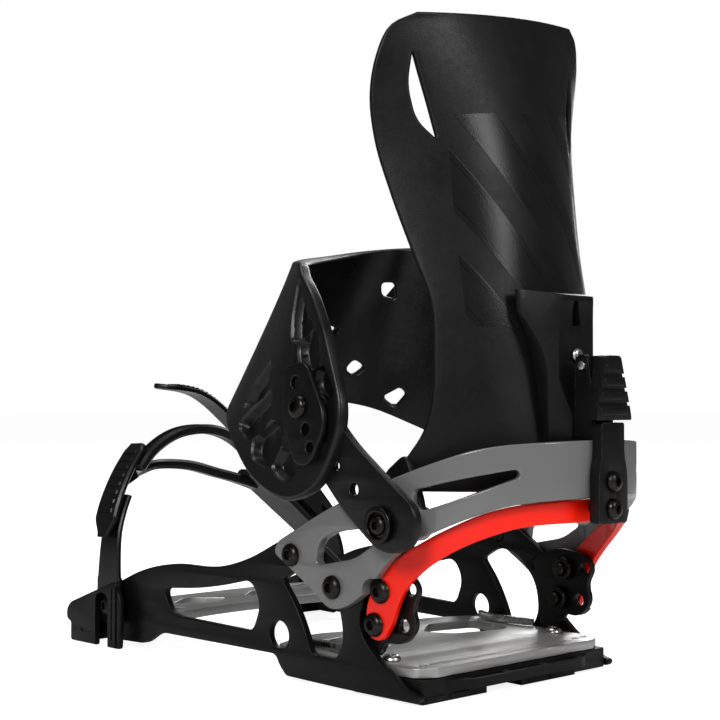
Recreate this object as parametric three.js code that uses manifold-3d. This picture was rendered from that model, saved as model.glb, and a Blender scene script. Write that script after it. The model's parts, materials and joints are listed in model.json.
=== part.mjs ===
// Splitboard touring binding: tapered side-plate chassis, two heel hoops, folding highback,
// closed ankle and toe straps. Millimetres, +Z up, +Y towards the toe, +X to the right.
import * as THREE from 'three';
import { mergeVertices } from 'three/addons/utils/BufferGeometryUtils.js';
import Module from 'manifold-3d';

const wasm = await Module();
wasm.setup();

// ---------------------------------------------------------------- driving dimensions
const HALF_WIDTH = 58.9;            // outer half width of the chassis at y = 0
const FLARE = 0.05;                 // growth of the half width for each mm towards the toe
const FLARE_ANGLE = Math.atan(FLARE);
const PLATE = 3;                    // side plate thickness
const GAP = 0.3;                    // clearance between touching pieces
const HOOP_CENTRE_Y = -77;          // centre of both heel hoops' rear arcs
const HOOP_THICK = 4;
const LOWER_HOOP_OUT = 0;           // lower hoop's outer face, outboard of the side plates
const PIVOT_Y = -91;                // highback and ankle strap pivot
const PIVOT_Z = 62.5;
const TOE_PIVOT_Y = 80;             // toe strap pivot
const TOE_PIVOT_Z = 17;
const REAR_DECK = { top: 12, thick: 3.5, rear: -97.5, front: -22 };
const FRONT_DECK = { top: 15.5, thick: 4, rear: 50, front: 94 };
const HIGHBACK_THICK = 3;
const EAR_INNER_X = 47.8;           // highback ear's inner face
const EAR_THICK = 3.3;
const HIGHBACK_TILT = 0.11;         // rise of the top edge for each mm to the right
const LINK_REAR_Y = -140.9;
const LEVER_PIN = { y: -132.5, z: 117.5, radius: 1.5 };
const BOLT = { head: 4.3, dome: 2.4, shank: 2.3, hole: 2.7 };
const BRACKET_INNER = 7.3;          // inner bracket's inner face, inboard of the side plate's outer face
const STRAP_INNER_X = 61;           // ankle strap arm's inner face
const STRAP_THICK = 3.5;

// ---------------------------------------------------------------- materials
function finish(color, roughness, metalness = 0) {
  return { color, roughness, metalness };
}
const BLACK_METAL = finish(0x131313, 0.42, 0.5);
const BLACK_PLASTIC = finish(0x1a1a1b, 0.5);
const BLACK_FOAM = finish(0x1d1d1f, 0.6);
const GREY_METAL = finish(0x757574, 0.28, 0.4);
const RED_METAL = finish(0xff2c06, 0.25, 0.2);
const ALUMINIUM = finish(0xb9b9b9, 0.35, 0.9);
const STEEL = finish(0xc9c9c6, 0.22, 1);
const BOLT_BLACK = finish(0x101010, 0.3, 0.7);

// ---------------------------------------------------------------- helpers
const model = new THREE.Group();
const halfWidth = (y) => HALF_WIDTH + FLARE * y;
const vec = (x, y, z) => new THREE.Vector3(x, y, z);

function toSolid(geometry) {
  const bare = geometry.clone();
  bare.deleteAttribute('normal');
  bare.deleteAttribute('uv');
  const merged = mergeVertices(bare, 1e-4);
  const vertProperties = new Float32Array(merged.attributes.position.array);
  const triVerts = new Uint32Array(merged.index.array);
  return new wasm.Manifold(new wasm.Mesh({ numProp: 3, vertProperties, triVerts }));
}

function toGeometry(solid) {
  const mesh = solid.getMesh();
  const geometry = new THREE.BufferGeometry();
  geometry.setAttribute('position', new THREE.BufferAttribute(mesh.vertProperties, 3));
  geometry.setIndex(new THREE.BufferAttribute(mesh.triVerts, 1));
  geometry.computeVertexNormals();
  return geometry;
}

function cut(geometry, ...tools) {
  return toGeometry(tools.reduce((body, tool) => body.subtract(toSolid(tool)), toSolid(geometry)));
}

function join(geometry, ...others) {
  return toGeometry(others.reduce((body, other) => body.add(toSolid(other)), toSolid(geometry)));
}

function common(a, b) {
  return toGeometry(toSolid(a).intersect(toSolid(b)));
}

function add(name, geometry, look, parent = model) {
  const mesh = new THREE.Mesh(geometry, new THREE.MeshStandardMaterial(look));
  mesh.name = name;
  parent.add(mesh);
  return mesh;
}

// Closed outline with rounded corners; each corner is [u, v, radius].
function outline(corners, Kind = THREE.Shape) {
  const shape = new Kind();
  const count = corners.length;
  corners.forEach(([u, v, radius], i) => {
    const here = new THREE.Vector2(u, v);
    const before = new THREE.Vector2(...corners[(i + count - 1) % count].slice(0, 2)).sub(here);
    const after = new THREE.Vector2(...corners[(i + 1) % count].slice(0, 2)).sub(here);
    const reach = Math.min(radius, before.length() * 0.49, after.length() * 0.49);
    const start = before.setLength(reach).add(here);
    const end = after.setLength(reach).add(here);
    if (i === 0) shape.moveTo(start.x, start.y);
    else shape.lineTo(start.x, start.y);
    shape.quadraticCurveTo(here.x, here.y, end.x, end.y);
  });
  shape.closePath();
  return shape;
}

function circle(u, v, radius, Kind = THREE.Path) {
  const path = new Kind();
  path.absarc(u, v, radius, 0, 2 * Math.PI);
  return path;
}

function extrude(shape, depth, curveSegments = 3) {
  return new THREE.ExtrudeGeometry(shape, { depth, bevelEnabled: false, curveSegments });
}

// Shape drawn in (Y, Z), extruded along X from low to high.
function slab(shape, low, high, curveSegments) {
  const cycle = new THREE.Matrix4().set(0, 0, 1, 0, 1, 0, 0, 0, 0, 1, 0, 0, 0, 0, 0, 1);
  return extrude(shape, high - low, curveSegments).applyMatrix4(cycle).translate(low, 0, 0);
}

// Shape drawn in (X, Z), extruded along Y from low to high.
function wall(shape, low, high, curveSegments) {
  return extrude(shape, high - low, curveSegments).rotateX(Math.PI / 2).translate(0, high, 0);
}

// Shape drawn in (X, Y), extruded along Z from low to high.
function layer(shape, low, high, curveSegments) {
  return extrude(shape, high - low, curveSegments).translate(0, 0, low);
}

function box(x0, x1, y0, y1, z0, z1) {
  const geometry = new THREE.BoxGeometry(x1 - x0, y1 - y0, z1 - z0);
  return geometry.translate((x0 + x1) / 2, (y0 + y1) / 2, (z0 + z1) / 2);
}

function rod(radius, x0, x1, y, z, sides = 14) {
  const geometry = new THREE.CylinderGeometry(radius, radius, x1 - x0, sides);
  return geometry.rotateZ(Math.PI / 2).translate((x0 + x1) / 2, y, z);
}

// Turned fastener whose axis is +X: profile points are [distance along X, radius].
function turned(profile, sides = 12) {
  const points = profile.map(([along, radius]) => new THREE.Vector2(radius, along));
  return new THREE.LatheGeometry(points, sides).rotateZ(-Math.PI / 2);
}

// Button-head bolt pointing out along +X, with its head seated at x = 0.
function buttonBolt({ head, dome, shank }, length) {
  const profile = [[-length, 0], [-length, shank], [0, shank], [0, head], [0.5 * dome, head],
    [dome, 0.6 * head], [dome, 0]];
  const bolt = turned(profile);
  const socket = new THREE.CylinderGeometry(0.3 * head, 0.3 * head, 2.2, 6).rotateZ(Math.PI / 2);
  return cut(bolt, socket.translate(dome, 0, 0));
}

// Hexagonal or round nut around the X axis, from x = 0 to its thickness.
function nut(outer, inner, thick, sides = 6) {
  return slab(withHoles(circle(0, 0, outer, THREE.Shape), [circle(0, 0, inner)]), 0, thick, sides);
}

function withHoles(shape, holes) {
  shape.holes.push(...holes);
  return shape;
}

// A subdivided block bent into place: place(u, v, w) takes each of the three from 0 to 1.
function bent(place, across, up = 1, deep = 1) {
  const geometry = new THREE.BoxGeometry(1, 1, 1, across, up, deep);
  const position = geometry.attributes.position;
  for (let i = 0; i < position.count; i += 1) {
    const point = place(position.getX(i) + 0.5, position.getY(i) + 0.5, position.getZ(i) + 0.5);
    position.setXYZ(i, point.x, point.y, point.z);
  }
  return geometry;
}

// Flat strap that follows a curve: facing(u) points out of its face, width(u) is across it.
function ribbon(curve, facing, width, thick, steps) {
  return bent((u, v, w) => {
    const along = curve.getTangent(u);
    const out = facing(u).clone().addScaledVector(along, -facing(u).dot(along)).normalize();
    const across = new THREE.Vector3().crossVectors(out, along);
    const point = curve.getPoint(u);
    return point.addScaledVector(across, (v - 0.5) * width(u)).addScaledVector(out, (w - 0.5) * thick);
  }, steps);
}

const spline = (points) => new THREE.CatmullRomCurve3(points.map((p) => vec(...p)), false, 'centripetal');

// ---------------------------------------------------------------- mirrored side frames
// In a side frame, x = 0 is the side plate's outer face and y runs along the plate.
const SIDES = [{ label: 'left', sign: -1 }, { label: 'right', sign: 1 }].map((side) => {
  const group = new THREE.Group();
  group.position.set(side.sign * HALF_WIDTH, 0, 0);
  group.rotation.z = -side.sign * FLARE_ANGLE;
  model.add(group);
  return { ...side, group };
});

// Slab between two distances outboard of the side plate's outer face.
function sideSlab(sign, shape, outFrom, outTo, curveSegments) {
  return sign > 0 ? slab(shape, outFrom, outTo, curveSegments) : slab(shape, -outTo, -outFrom, curveSegments);
}

const HOOP_BOLTS = [{ label: 'front', y: -39, z: 48 }, { label: 'rear', y: -61, z: 38 }];
const LEG_BOLTS = [{ label: 'upper', y: -81, z: 38 }, { label: 'lower', y: -78, z: 26 }];

// ---------------------------------------------------------------- chassis
function sidePlate(sign) {
  const shape = outline([
    [95, 2, 3], [95, 20, 6], [77, 27, 12], [60, 34, 16], [39, 38.5, 16], [11, 38.5, 18],
    [-9, 43.5, 14], [-27, 52, 6], [-36, 55, 6], [-48, 53, 8], [-66, 42, 6], [-72.5, 34, 3],
    [-69.5, 27, 6], [-72, 20, 8], [-80, 13, 8], [-93, 5, 4], [-99.5, 3.4, 2], [-98.5, 1, 2],
    [-60, 1, 2], [-31, 1.6, 1.5], [-27.5, 5, 1.5], [-25, 9, 3], [47, 9, 5], [57, 3, 4],
  ]);
  const window = outline([[45, 27.5, 5], [16, 30, 14], [-11, 36, 5], [-16.5, 27, 5], [-12, 16, 4],
    [39, 17, 5]], THREE.Path);
  const rearOpening = outline([[-29, 37.5, 2], [-39, 43, 5], [-50, 41, 5], [-60.5, 30, 7],
    [-62, 18, 6], [-58, 11, 3], [-45, 11, 3], [-42.5, 18, 6], [-37, 28, 8]], THREE.Path);
  const holes = HOOP_BOLTS.map((bolt) => circle(bolt.y, bolt.z, BOLT.hole));
  const toeHole = circle(TOE_PIVOT_Y, TOE_PIVOT_Z, BOLT.hole + 1);
  withHoles(shape, [window, rearOpening, circle(-27.2, 16.5, 5.4), toeHole, ...holes]);
  return sideSlab(sign, shape, -PLATE, 0);
}

function innerBracket(sign) {
  const shape = outline([
    [-63, 41, 3], [-76, 46, 5], [-91, 44.5, 7], [-95.5, 39, 5], [-91.5, 32.5, 4], [-94, 26, 5],
    [-88, 19, 5], [-79, 20, 4], [-76, 13.5, 4], [-66.5, 13.5, 3], [-66, 27, 6],
  ]);
  const holes = [...LEG_BOLTS.map((bolt) => circle(bolt.y, bolt.z, BOLT.hole)),
    circle(-91, 39, 2.4), circle(-87.7, 26, 2.4)];
  const plate = sideSlab(sign, withHoles(shape, holes), -BRACKET_INNER, -PLATE - GAP);
  const relief = outline([[-110, 23, 0], [-110, 60, 0], [-83, 60, 0], [-83, 23, 0]]);
  return cut(plate, sideSlab(sign, relief, 2.4 - BRACKET_INNER, 0));
}

function toeBlock(sign) {
  const side = [[67, 0, 1.5], [66, 20, 3], [71, 28.5, 3], [88, 22.5, 8], [104.5, 16.5, 3],
    [107, 13, 2], [106.5, 9, 1.5], [103.5, 8, 1], [103.5, 0, 1.5]];
  const notch = outline([[75.4, -3, 0], [75.4, 23, 4.5], [84.6, 23, 4.5], [84.6, -3, 0]], THREE.Shape);
  const cheek = cut(sideSlab(sign, outline(side), 3.9, 6.4), sideSlab(sign, notch, 3, 7));
  const nose = common(sideSlab(sign, outline(side), -9, 6.4),
    box(-12, 12, 95.4, 112, -1, 40));
  const groove = sideSlab(sign, outline([[68.6, -2, 0], [68.6, 34, 0], [70, 34, 0], [70, -2, 0]]), 5.6, 7);
  return cut(join(cheek, nose), groove);
}

function chassisSides() {
  for (const { label, sign, group } of SIDES) {
    add(`side_plate_${label}`, sidePlate(sign), BLACK_METAL, group);
    add(`inner_bracket_${label}`, innerBracket(sign), BLACK_METAL, group);
    add(`toe_block_${label}`, toeBlock(sign), BLACK_PLASTIC, group);
  }
}

// Plate edge that keeps clear of both side plates, for a deck between rear and front.
const deckEdge = (y) => halfWidth(y) - PLATE - GAP - 0.1;

function rearDeck() {
  const { top, thick, rear, front } = REAR_DECK;
  const half = [[deckEdge(rear) - 7, rear, 1], [deckEdge(rear), rear + 4, 3],
    [deckEdge(front), front, 4], [30, front + 10, 12], [11, front + 4, 8]];
  const mirrored = half.map(([x, y, radius]) => [-x, y, radius]).reverse();
  const shape = outline([...half, ...mirrored]);
  const window = (sign) => outline([[sign * 8, -39, 3], [sign * 14, -50, 3], [sign * 38, -57, 4],
    [sign * 45, -51, 4], [sign * 45, -31, 3], [sign * 24, -26, 4]], THREE.Path);
  const screws = [-1, 1].map((sign) => circle(sign * DECK_SCREW.x, DECK_SCREW.y, DECK_SCREW.hole));
  withHoles(shape, [window(1), window(-1), ...screws]);
  return layer(shape, top - thick, top);
}

function frontDeck() {
  const { top, thick, rear, front } = FRONT_DECK;
  const shape = outline([[deckEdge(rear), rear, 2], [deckEdge(front), front, 2], [20, front + 2, 10],
    [-20, front + 2, 10], [-deckEdge(front), front, 2], [-deckEdge(rear), rear, 2], [-26, rear + 7, 12],
    [26, rear + 7, 12]]);
  const lens = (x) => outline([[x - 15, 75, 2], [x, 64, 7], [x + 15, 75, 2], [x, 88, 7]], THREE.Path);
  const edge = (sign) => outline([[sign * 37, 61, 2], [sign * 51, 59, 2], [sign * 49, 68, 3]],
    THREE.Path);
  const corner = (sign) => outline([[sign * 39, 88, 2], [sign * 50, 80, 3], [sign * 54, 88, 2]],
    THREE.Path);
  withHoles(shape, [lens(-20), lens(20), edge(1), edge(-1), corner(1), corner(-1)]);
  return layer(shape, top - thick, top);
}

const DECK_SCREW = { x: 45, y: -76, hole: 2.4 };

function heelBumper() {
  const top = REAR_DECK.top - REAR_DECK.thick - GAP;
  const rear = REAR_DECK.rear;
  const edge = (y) => halfWidth(y) - PLATE - GAP - 0.1;
  const base = layer(outline([[-edge(rear), rear, 1], [edge(rear), rear, 1], [edge(-62), -62, 3],
    [-edge(-62), -62, 3]]), 0, top);
  const arch = box(-18, 1, -110, -50, -1, 3.4);
  const step = box(32, 60, -110, -50, -1, 0.8);
  const inside = box(-38, 38, -90, -50, -1, 5);
  const shelf = layer(outline([[-40, rear + 0.5, 1], [-30, rear - 5.5, 3], [31, rear - 5.5, 3],
    [40, rear + 0.5, 1]]), 3.8, top - 1);
  const pockets = [-21, 0, 21].map((x) => box(x - 8.5, x + 8.5, rear - 3.6, rear - 0.6, 2, top + 2));
  const screws = [-1, 1].map((sign) => {
    const hole = new THREE.CylinderGeometry(DECK_SCREW.hole, DECK_SCREW.hole, 30, 16);
    return hole.rotateX(Math.PI / 2).translate(sign * DECK_SCREW.x, DECK_SCREW.y, 0);
  });
  return cut(join(base, shelf), arch, step, inside, ...pockets, ...screws);
}

function deckScrew(sign) {
  const screw = buttonBolt({ head: 3.6, dome: 2, shank: 2 }, 8).rotateY(-Math.PI / 2);
  return screw.translate(sign * DECK_SCREW.x, DECK_SCREW.y, REAR_DECK.top + GAP / 2);
}

// Curved ride-mode jaw lying on the rear deck beside a side plate.
function latchJaw(sign) {
  const inboard = -PLATE - GAP - 0.2;
  const arc = new THREE.Shape();
  arc.moveTo(sign * inboard, -30);
  arc.quadraticCurveTo(sign * (inboard - 7), -42, sign * inboard, -60);
  arc.lineTo(sign * (inboard - 2), -61);
  arc.quadraticCurveTo(sign * (inboard - 10), -42, sign * (inboard - 2), -29);
  arc.closePath();
  return layer(arc, REAR_DECK.top + GAP, REAR_DECK.top + GAP + 3, 8);
}

function decks() {
  add('rear_deck', rearDeck(), ALUMINIUM);
  add('front_deck', frontDeck(), ALUMINIUM);
  add('heel_bumper', heelBumper(), BLACK_PLASTIC);
  for (const { label, sign, group } of SIDES) {
    add(`deck_screw_${label}`, deckScrew(sign), STEEL);
    add(`latch_jaw_${label}`, latchJaw(sign), STEEL, group);
  }
}

// ---------------------------------------------------------------- heel hoops
// Plan of a hoop: straight flared arms and a round back, between two distances outboard.
function hoopPlan(outFrom, outTo, frontY) {
  const shape = new THREE.Shape();
  const outer = halfWidth(HOOP_CENTRE_Y) + outTo;
  const inner = halfWidth(HOOP_CENTRE_Y) + outFrom;
  shape.moveTo(halfWidth(frontY) + outTo, frontY);
  shape.lineTo(halfWidth(frontY) + outFrom, frontY);
  shape.lineTo(inner, HOOP_CENTRE_Y);
  shape.absarc(0, HOOP_CENTRE_Y, inner, 0, -Math.PI, true);
  shape.lineTo(-halfWidth(frontY) - outFrom, frontY);
  shape.lineTo(-halfWidth(frontY) - outTo, frontY);
  shape.lineTo(-outer, HOOP_CENTRE_Y);
  shape.absarc(0, HOOP_CENTRE_Y, outer, Math.PI, 2 * Math.PI, false);
  shape.closePath();
  return shape;
}

const rearHole = (z, radius) => {
  const hole = new THREE.CylinderGeometry(radius, radius, 40, 14);
  return hole.translate(0, LINK_REAR_Y, z);
};

function sideHoles(bolts, radius) {
  return SIDES.flatMap(({ sign, group }) => bolts.map(({ y, z }) => {
    group.updateMatrixWorld();
    return rod(radius, -12, 12, y, z).applyMatrix4(group.matrixWorld);
  }));
}

const pivotHole = (radius) => rod(radius, -90, 90, PIVOT_Y, PIVOT_Z);

function heelHoop() {
  const plan = layer(hoopPlan(GAP, GAP + HOOP_THICK, -20), 20, 110, 14);
  const profile = slab(outline([
    [-29, 48, 4], [-31, 52.5, 3], [-60, 67, 10], [-88, 77.5, 30], [-103, 83.5, 20], [-118, 89.5, 20],
    [-140, 92, 1], [-140, 72, 1], [-124, 70, 20], [-110, 63, 16], [-92, 54, 10], [-77, 37, 8],
    [-67, 31, 4], [-59, 29.5, 5], [-50, 36, 6], [-36, 44, 4],
  ]), -80, 80);
  const eye = slab(outline([[-52, 45, 3.5], [-53.5, 54, 4], [-62, 58, 3], [-76, 60, 3], [-82, 55, 3],
    [-72, 49, 4]]), -80, 80);
  const slot = slab(outline([[-97.3, 74.3, 2], [-110.5, 78, 10], [-119.4, 80.3, 10], [-125.2, 81.8, 1.5],
    [-125.6, 79, 1.5], [-119.4, 75.5, 10], [-110.5, 71.2, 10], [-100.3, 67.3, 2], [-97.3, 69, 2]]), -80, 80);
  return cut(common(plan, profile), eye, slot, ...sideHoles(HOOP_BOLTS, BOLT.hole), pivotHole(3.7),
    ...sideHoles(LEG_BOLTS, BOLT.head + 0.6),
    rearHole(LINK_SCREW_Z, 2.4));
}

function lowerHoop() {
  const plan = layer(hoopPlan(-PLATE, LOWER_HOOP_OUT, -60), 10, 90, 14);
  const profile = slab(outline([
    [-73.2, 29, 4], [-74.5, 35, 4], [-79, 42, 5], [-90, 51.2, 12], [-108, 61.5, 14], [-122, 68.5, 16],
    [-140, 71.5, 1], [-140, 62.5, 1], [-128, 62.5, 14], [-112, 55, 14], [-99, 46.5, 10], [-90.5, 38, 8],
    [-86.5, 27, 5], [-82, 20.5, 3], [-75, 20.5, 4],
  ]), -80, 80);
  return cut(common(plan, profile), ...sideHoles(LEG_BOLTS, BOLT.hole), rearHole(LINK_NUT_Z, 2.4));
}

const LINK_SCREW_Z = 77;
const LINK_NUT_Z = 67.5;

function hoopLink() {
  const front = HOOP_CENTRE_Y - halfWidth(HOOP_CENTRE_Y) - GAP - HOOP_THICK - GAP;
  const plate = wall(outline([[-8, 62.5, 1.5], [8, 62.5, 1.5], [8, 80, 3], [6.3, 86, 3], [6.3, 97.6, 1],
    [-6.3, 97.6, 1], [-6.3, 86, 3], [-8, 80, 3]]), LINK_REAR_Y, front);
  const bridge = box(-6.3, 6.3, -137.5, -129, 93, 97.6);
  const cheek = outline([[-136.1, 93, 0.5], [-136.1, 112, 2], [-134.5, 121.5, 3], [-130, 121.5, 3],
    [-129, 112, 3], [-129, 93, 0.5]]);
  const cheeks = [-6.3, 4.4].map((x) => slab(cheek, x, x + 1.9));
  const pinHole = rod(LEVER_PIN.radius + GAP, -20, 20, LEVER_PIN.y, LEVER_PIN.z, 16);
  return cut(join(plate, bridge, ...cheeks), pinHole, rearHole(LINK_SCREW_Z, 2.4), rearHole(LINK_NUT_Z, 2.4));
}

function leanLever() {
  const plate = wall(outline([[-10, 98.4, 1], [10, 98.4, 1], [9.3, 102, 1], [4, 121, 1.5], [-4, 121, 1.5],
    [-9.3, 102, 1]]), LINK_REAR_Y - 0.5, -136.4);
  const knuckle = slab(outline([[-129.2, 115, 3], [-129.2, 120.8, 3], [-138, 121, 1], [-138, 112, 1],
    [-133, 112.5, 3]]), -4, 4);
  const grooves = [103.5, 108.5, 113.5].map((z) => box(-12, 12, LINK_REAR_Y - 2, LINK_REAR_Y + 0.4, z, z + 1.2));
  const pinHole = rod(LEVER_PIN.radius + GAP, -20, 20, LEVER_PIN.y, LEVER_PIN.z, 16);
  return cut(join(plate, knuckle), pinHole, ...grooves);
}

function rearFastener(z, length) {
  const bolt = buttonBolt({ head: 3.6, dome: 2, shank: 2 }, length).rotateZ(-Math.PI / 2);
  return bolt.translate(0, LINK_REAR_Y - GAP / 2, z);
}

function hoops() {
  add('heel_hoop', heelHoop(), GREY_METAL);
  add('lower_hoop', lowerHoop(), RED_METAL);
  add('hoop_link', hoopLink(), BLACK_METAL);
  add('link_screw', rearFastener(LINK_SCREW_Z, 8), BOLT_BLACK);
  add('link_rivet', rearFastener(LINK_NUT_Z, 11), BOLT_BLACK);
  add('lean_lever', leanLever(), BLACK_PLASTIC);
  add('lean_lever_pin', rod(LEVER_PIN.radius, -7.5, 7.5, LEVER_PIN.y, LEVER_PIN.z, 16), STEEL);
  for (const { label, sign, group } of SIDES) {
    for (const bolt of HOOP_BOLTS) {
      const geometry = buttonBolt(BOLT, GAP + HOOP_THICK + PLATE + 0.5).translate(GAP * 1.5 + HOOP_THICK, 0, 0);
      if (sign < 0) geometry.rotateZ(Math.PI);
      add(`hoop_bolt_${bolt.label}_${label}`, geometry, BOLT_BLACK, group).position.set(0, bolt.y, bolt.z);
    }
    for (const bolt of LEG_BOLTS) {
      const geometry = buttonBolt(BOLT, 12).translate(LOWER_HOOP_OUT + GAP / 2, 0, 0);
      const collar = nut(4.6, BOLT.hole, 2.6).translate(-10.3, 0, 0);
      if (sign < 0) geometry.rotateZ(Math.PI);
      if (sign < 0) collar.rotateZ(Math.PI);
      add(`leg_bolt_${bolt.label}_${label}`, geometry, BOLT_BLACK, group).position.set(0, bolt.y, bolt.z);
      add(`leg_nut_${bolt.label}_${label}`, collar, BOLT_BLACK, group).position.set(0, bolt.y, bolt.z);
    }
  }
}

// ---------------------------------------------------------------- highback
// The side curve holds [half width, y, z] up the right edge and the spine runs up the middle.
const HIGHBACK_EDGE = spline([[51.2, -80, 73], [49.8, -87.5, 84], [46.6, -93.5, 94], [44.6, -96, 105],
  [43.8, -96.3, 122], [43.8, -95, 142], [46.8, -88.5, 162], [51.2, -82, 185], [55, -78, 204],
  [57.4, -78, 221], [56.4, -80.5, 235], [52, -83.5, 245.5], [43, -88, 250]]);
const HIGHBACK_SPINE = spline([[0, -121, 73], [0, -119.5, 90], [0, -116, 112], [0, -112.5, 142],
  [0, -109, 172], [0, -104.5, 202], [0, -99, 230], [0, -94.5, 250]]);

function highbackPoint(u, v, offset) {
  const edge = HIGHBACK_EDGE.getPoint(v);
  const spine = HIGHBACK_SPINE.getPointAt(Math.min(1, Math.max(0, (edge.z - 73) / 177)));
  const side = 2 * u - 1;
  const bulge = edge.y - spine.y;
  const normal = vec(-2 * side * bulge, edge.x, 0).normalize();
  const tilt = HIGHBACK_TILT * side * edge.x * THREE.MathUtils.smoothstep(edge.z, 110, 190);
  const point = vec(side * edge.x, spine.y + bulge * side * side, edge.z + tilt);
  return point.addScaledVector(normal, offset);
}

function highback() {
  const shell = bent((u, v, w) => highbackPoint(u, v, (1 - w) * HIGHBACK_THICK), 12, 18);
  const ear = (sign) => {
    const shape = outline([[-98, 57.5, 5], [-84, 56, 6], [-80, 66, 6], [-77.5, 79, 4], [-89, 87, 4],
      [-97, 70, 6]]);
    const inner = sign > 0 ? EAR_INNER_X : -EAR_INNER_X - EAR_THICK;
    return slab(shape, inner, inner + EAR_THICK, 6);
  };
  const slots = [
    [[-44.6, 231, 1.5], [-40.3, 213, 14], [-37.6, 199.5, 1.5], [-43.5, 206, 8], [-46.3, 219, 10]],
    [[40.5, 234, 1.5], [31.5, 215, 14], [32.5, 201.5, 1.5], [41.5, 208, 8], [44, 221, 10]],
  ].map((leaf) => wall(outline(leaf), -140, -40, 6));
  return cut(join(shell, ear(1), ear(-1)), ...slots, pivotHole(3.3));
}

const BLOCK_SCREW = { y: -125.1, z: 121.5 };

function leanBlock() {
  const front = (z) => HIGHBACK_SPINE.getPointAt((z - 73) / 177).y - 0.5;
  const profile = outline([[front(89), 89, 1], [front(116), 116, 1], [front(145), 145, 1], [-126, 143, 2],
    [-125, 137, 4], [-124.8, 130, 3], [-124.6, 112, 3], [-128.4, 99, 2], [-127.5, 89, 2]]);
  const taper = layer(outline([[-21, -105, 0], [-19, -115, 2], [-6, -128.5, 2], [6, -128.5, 2], [19, -115, 2],
    [21, -105, 0]]), 80, 150);
  const body = common(slab(profile, -21, 21), taper);
  const plan = wall(outline([[-12, 80, 1], [12, 80, 1], [12.5, 122, 8], [21, 141, 2], [20, 150, 2],
    [-20, 150, 2], [-21, 141, 2], [-12.5, 122, 8]]), -150, -90);
  const window = wall(outline([[-2.5, 132, 0.8], [2.6, 132, 0.8], [0.4, 141, 0.8], [-2.2, 141, 0.8]]), -150, -122);
  const hole = new THREE.CylinderGeometry(1.5, 1.5, 8, 12).translate(0, BLOCK_SCREW.y + 1, BLOCK_SCREW.z);
  return cut(common(body, plan), window, hole);
}

function highbackGroup() {
  add('highback', highback(), BLACK_PLASTIC);
  add('lean_block', leanBlock(), BLACK_PLASTIC);
  const screw = buttonBolt({ head: 2.6, dome: 1.4, shank: 1.2 }, 1.5).rotateZ(-Math.PI / 2);
  add('lean_block_screw', screw.translate(0, BLOCK_SCREW.y, BLOCK_SCREW.z), STEEL);
  for (const { label, sign } of SIDES) {
    const bolt = buttonBolt({ head: 5.4, dome: 2.6, shank: 3 },
      STRAP_INNER_X + STRAP_THICK + GAP - EAR_INNER_X + 3);
    const cap = nut(6.5, 3.3, 2.6, 10).translate(EAR_INNER_X - 2.9, 0, 0);
    bolt.translate(STRAP_INNER_X + STRAP_THICK + GAP, 0, 0);
    if (sign < 0) bolt.rotateZ(Math.PI);
    if (sign < 0) cap.rotateZ(Math.PI);
    add(`strap_bolt_${label}`, bolt, BOLT_BLACK).position.set(0, PIVOT_Y, PIVOT_Z);
    add(`strap_nut_${label}`, cap, STEEL).position.set(0, PIVOT_Y, PIVOT_Z);
  }
}

// ---------------------------------------------------------------- buckles
// Ratchet buckle in its own frame: x along the ladder, y across it, z out of the strap.
const BUCKLE = { length: 30, inner: 19, wall: 2, floor: 1.5, height: 10, pinX: 8, pinZ: 7.8 };

function buckleBase() {
  const { length, inner, wall: side, floor, height, pinX, pinZ } = BUCKLE;
  const half = inner / 2 + side;
  const plate = layer(outline([[-length / 2, -half, 3], [length / 2, -half, 3], [length / 2, half, 3],
    [-length / 2, half, 3]]), 0, floor);
  const cheek = outline([[-8, 0, 0], [14, 0, 0], [13, height, 3], [3, height, 3]]);
  const cheeks = [-1, 1].map((sign) => {
    const low = sign > 0 ? inner / 2 : -half;
    return wall(cheek, low, low + side);
  });
  const hole = new THREE.CylinderGeometry(1.6, 1.6, 40, 12).translate(pinX, 0, pinZ);
  return cut(join(plate, ...cheeks), hole);
}

function buckleLever() {
  const { inner, pinX, pinZ } = BUCKLE;
  const half = inner / 2 - GAP;
  const profile = outline([[pinX + 3.4, pinZ - 1, 2], [pinX + 3, pinZ + 3, 2], [pinX - 4, pinZ + 4.4, 4],
    [-26, pinZ + 0.5, 2], [-26, pinZ - 1.2, 1], [pinX - 6, pinZ - 0.5, 3], [pinX - 1, pinZ - 2, 1]]);
  const body = wall(profile, -half, half, 6);
  const taper = layer(outline([[14, -half, 2], [14, half, 2], [-10, half, 6], [-28, half - 3, 6],
    [-28, 3 - half, 6], [-10, -half, 6]]), -10, 30);
  const hole = new THREE.CylinderGeometry(1.6, 1.6, 40, 12).translate(pinX, 0, pinZ);
  return cut(common(body, taper), hole);
}

function bucklePin() {
  const { inner, wall: side, pinX, pinZ } = BUCKLE;
  return new THREE.CylinderGeometry(1.3, 1.3, inner + 2 * side + 1, 14).translate(pinX, 0, pinZ);
}

function buckle(prefix, origin, along, outward) {
  const across = new THREE.Vector3().crossVectors(outward, along);
  const group = new THREE.Group();
  group.matrix.makeBasis(along, across, outward).setPosition(origin);
  group.matrix.decompose(group.position, group.quaternion, group.scale);
  model.add(group);
  add(`${prefix}_buckle_base`, buckleBase(), BLACK_METAL, group);
  add(`${prefix}_buckle_lever`, buckleLever(), BLACK_PLASTIC, group);
  add(`${prefix}_buckle_pin`, bucklePin(), STEEL, group);
}

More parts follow.
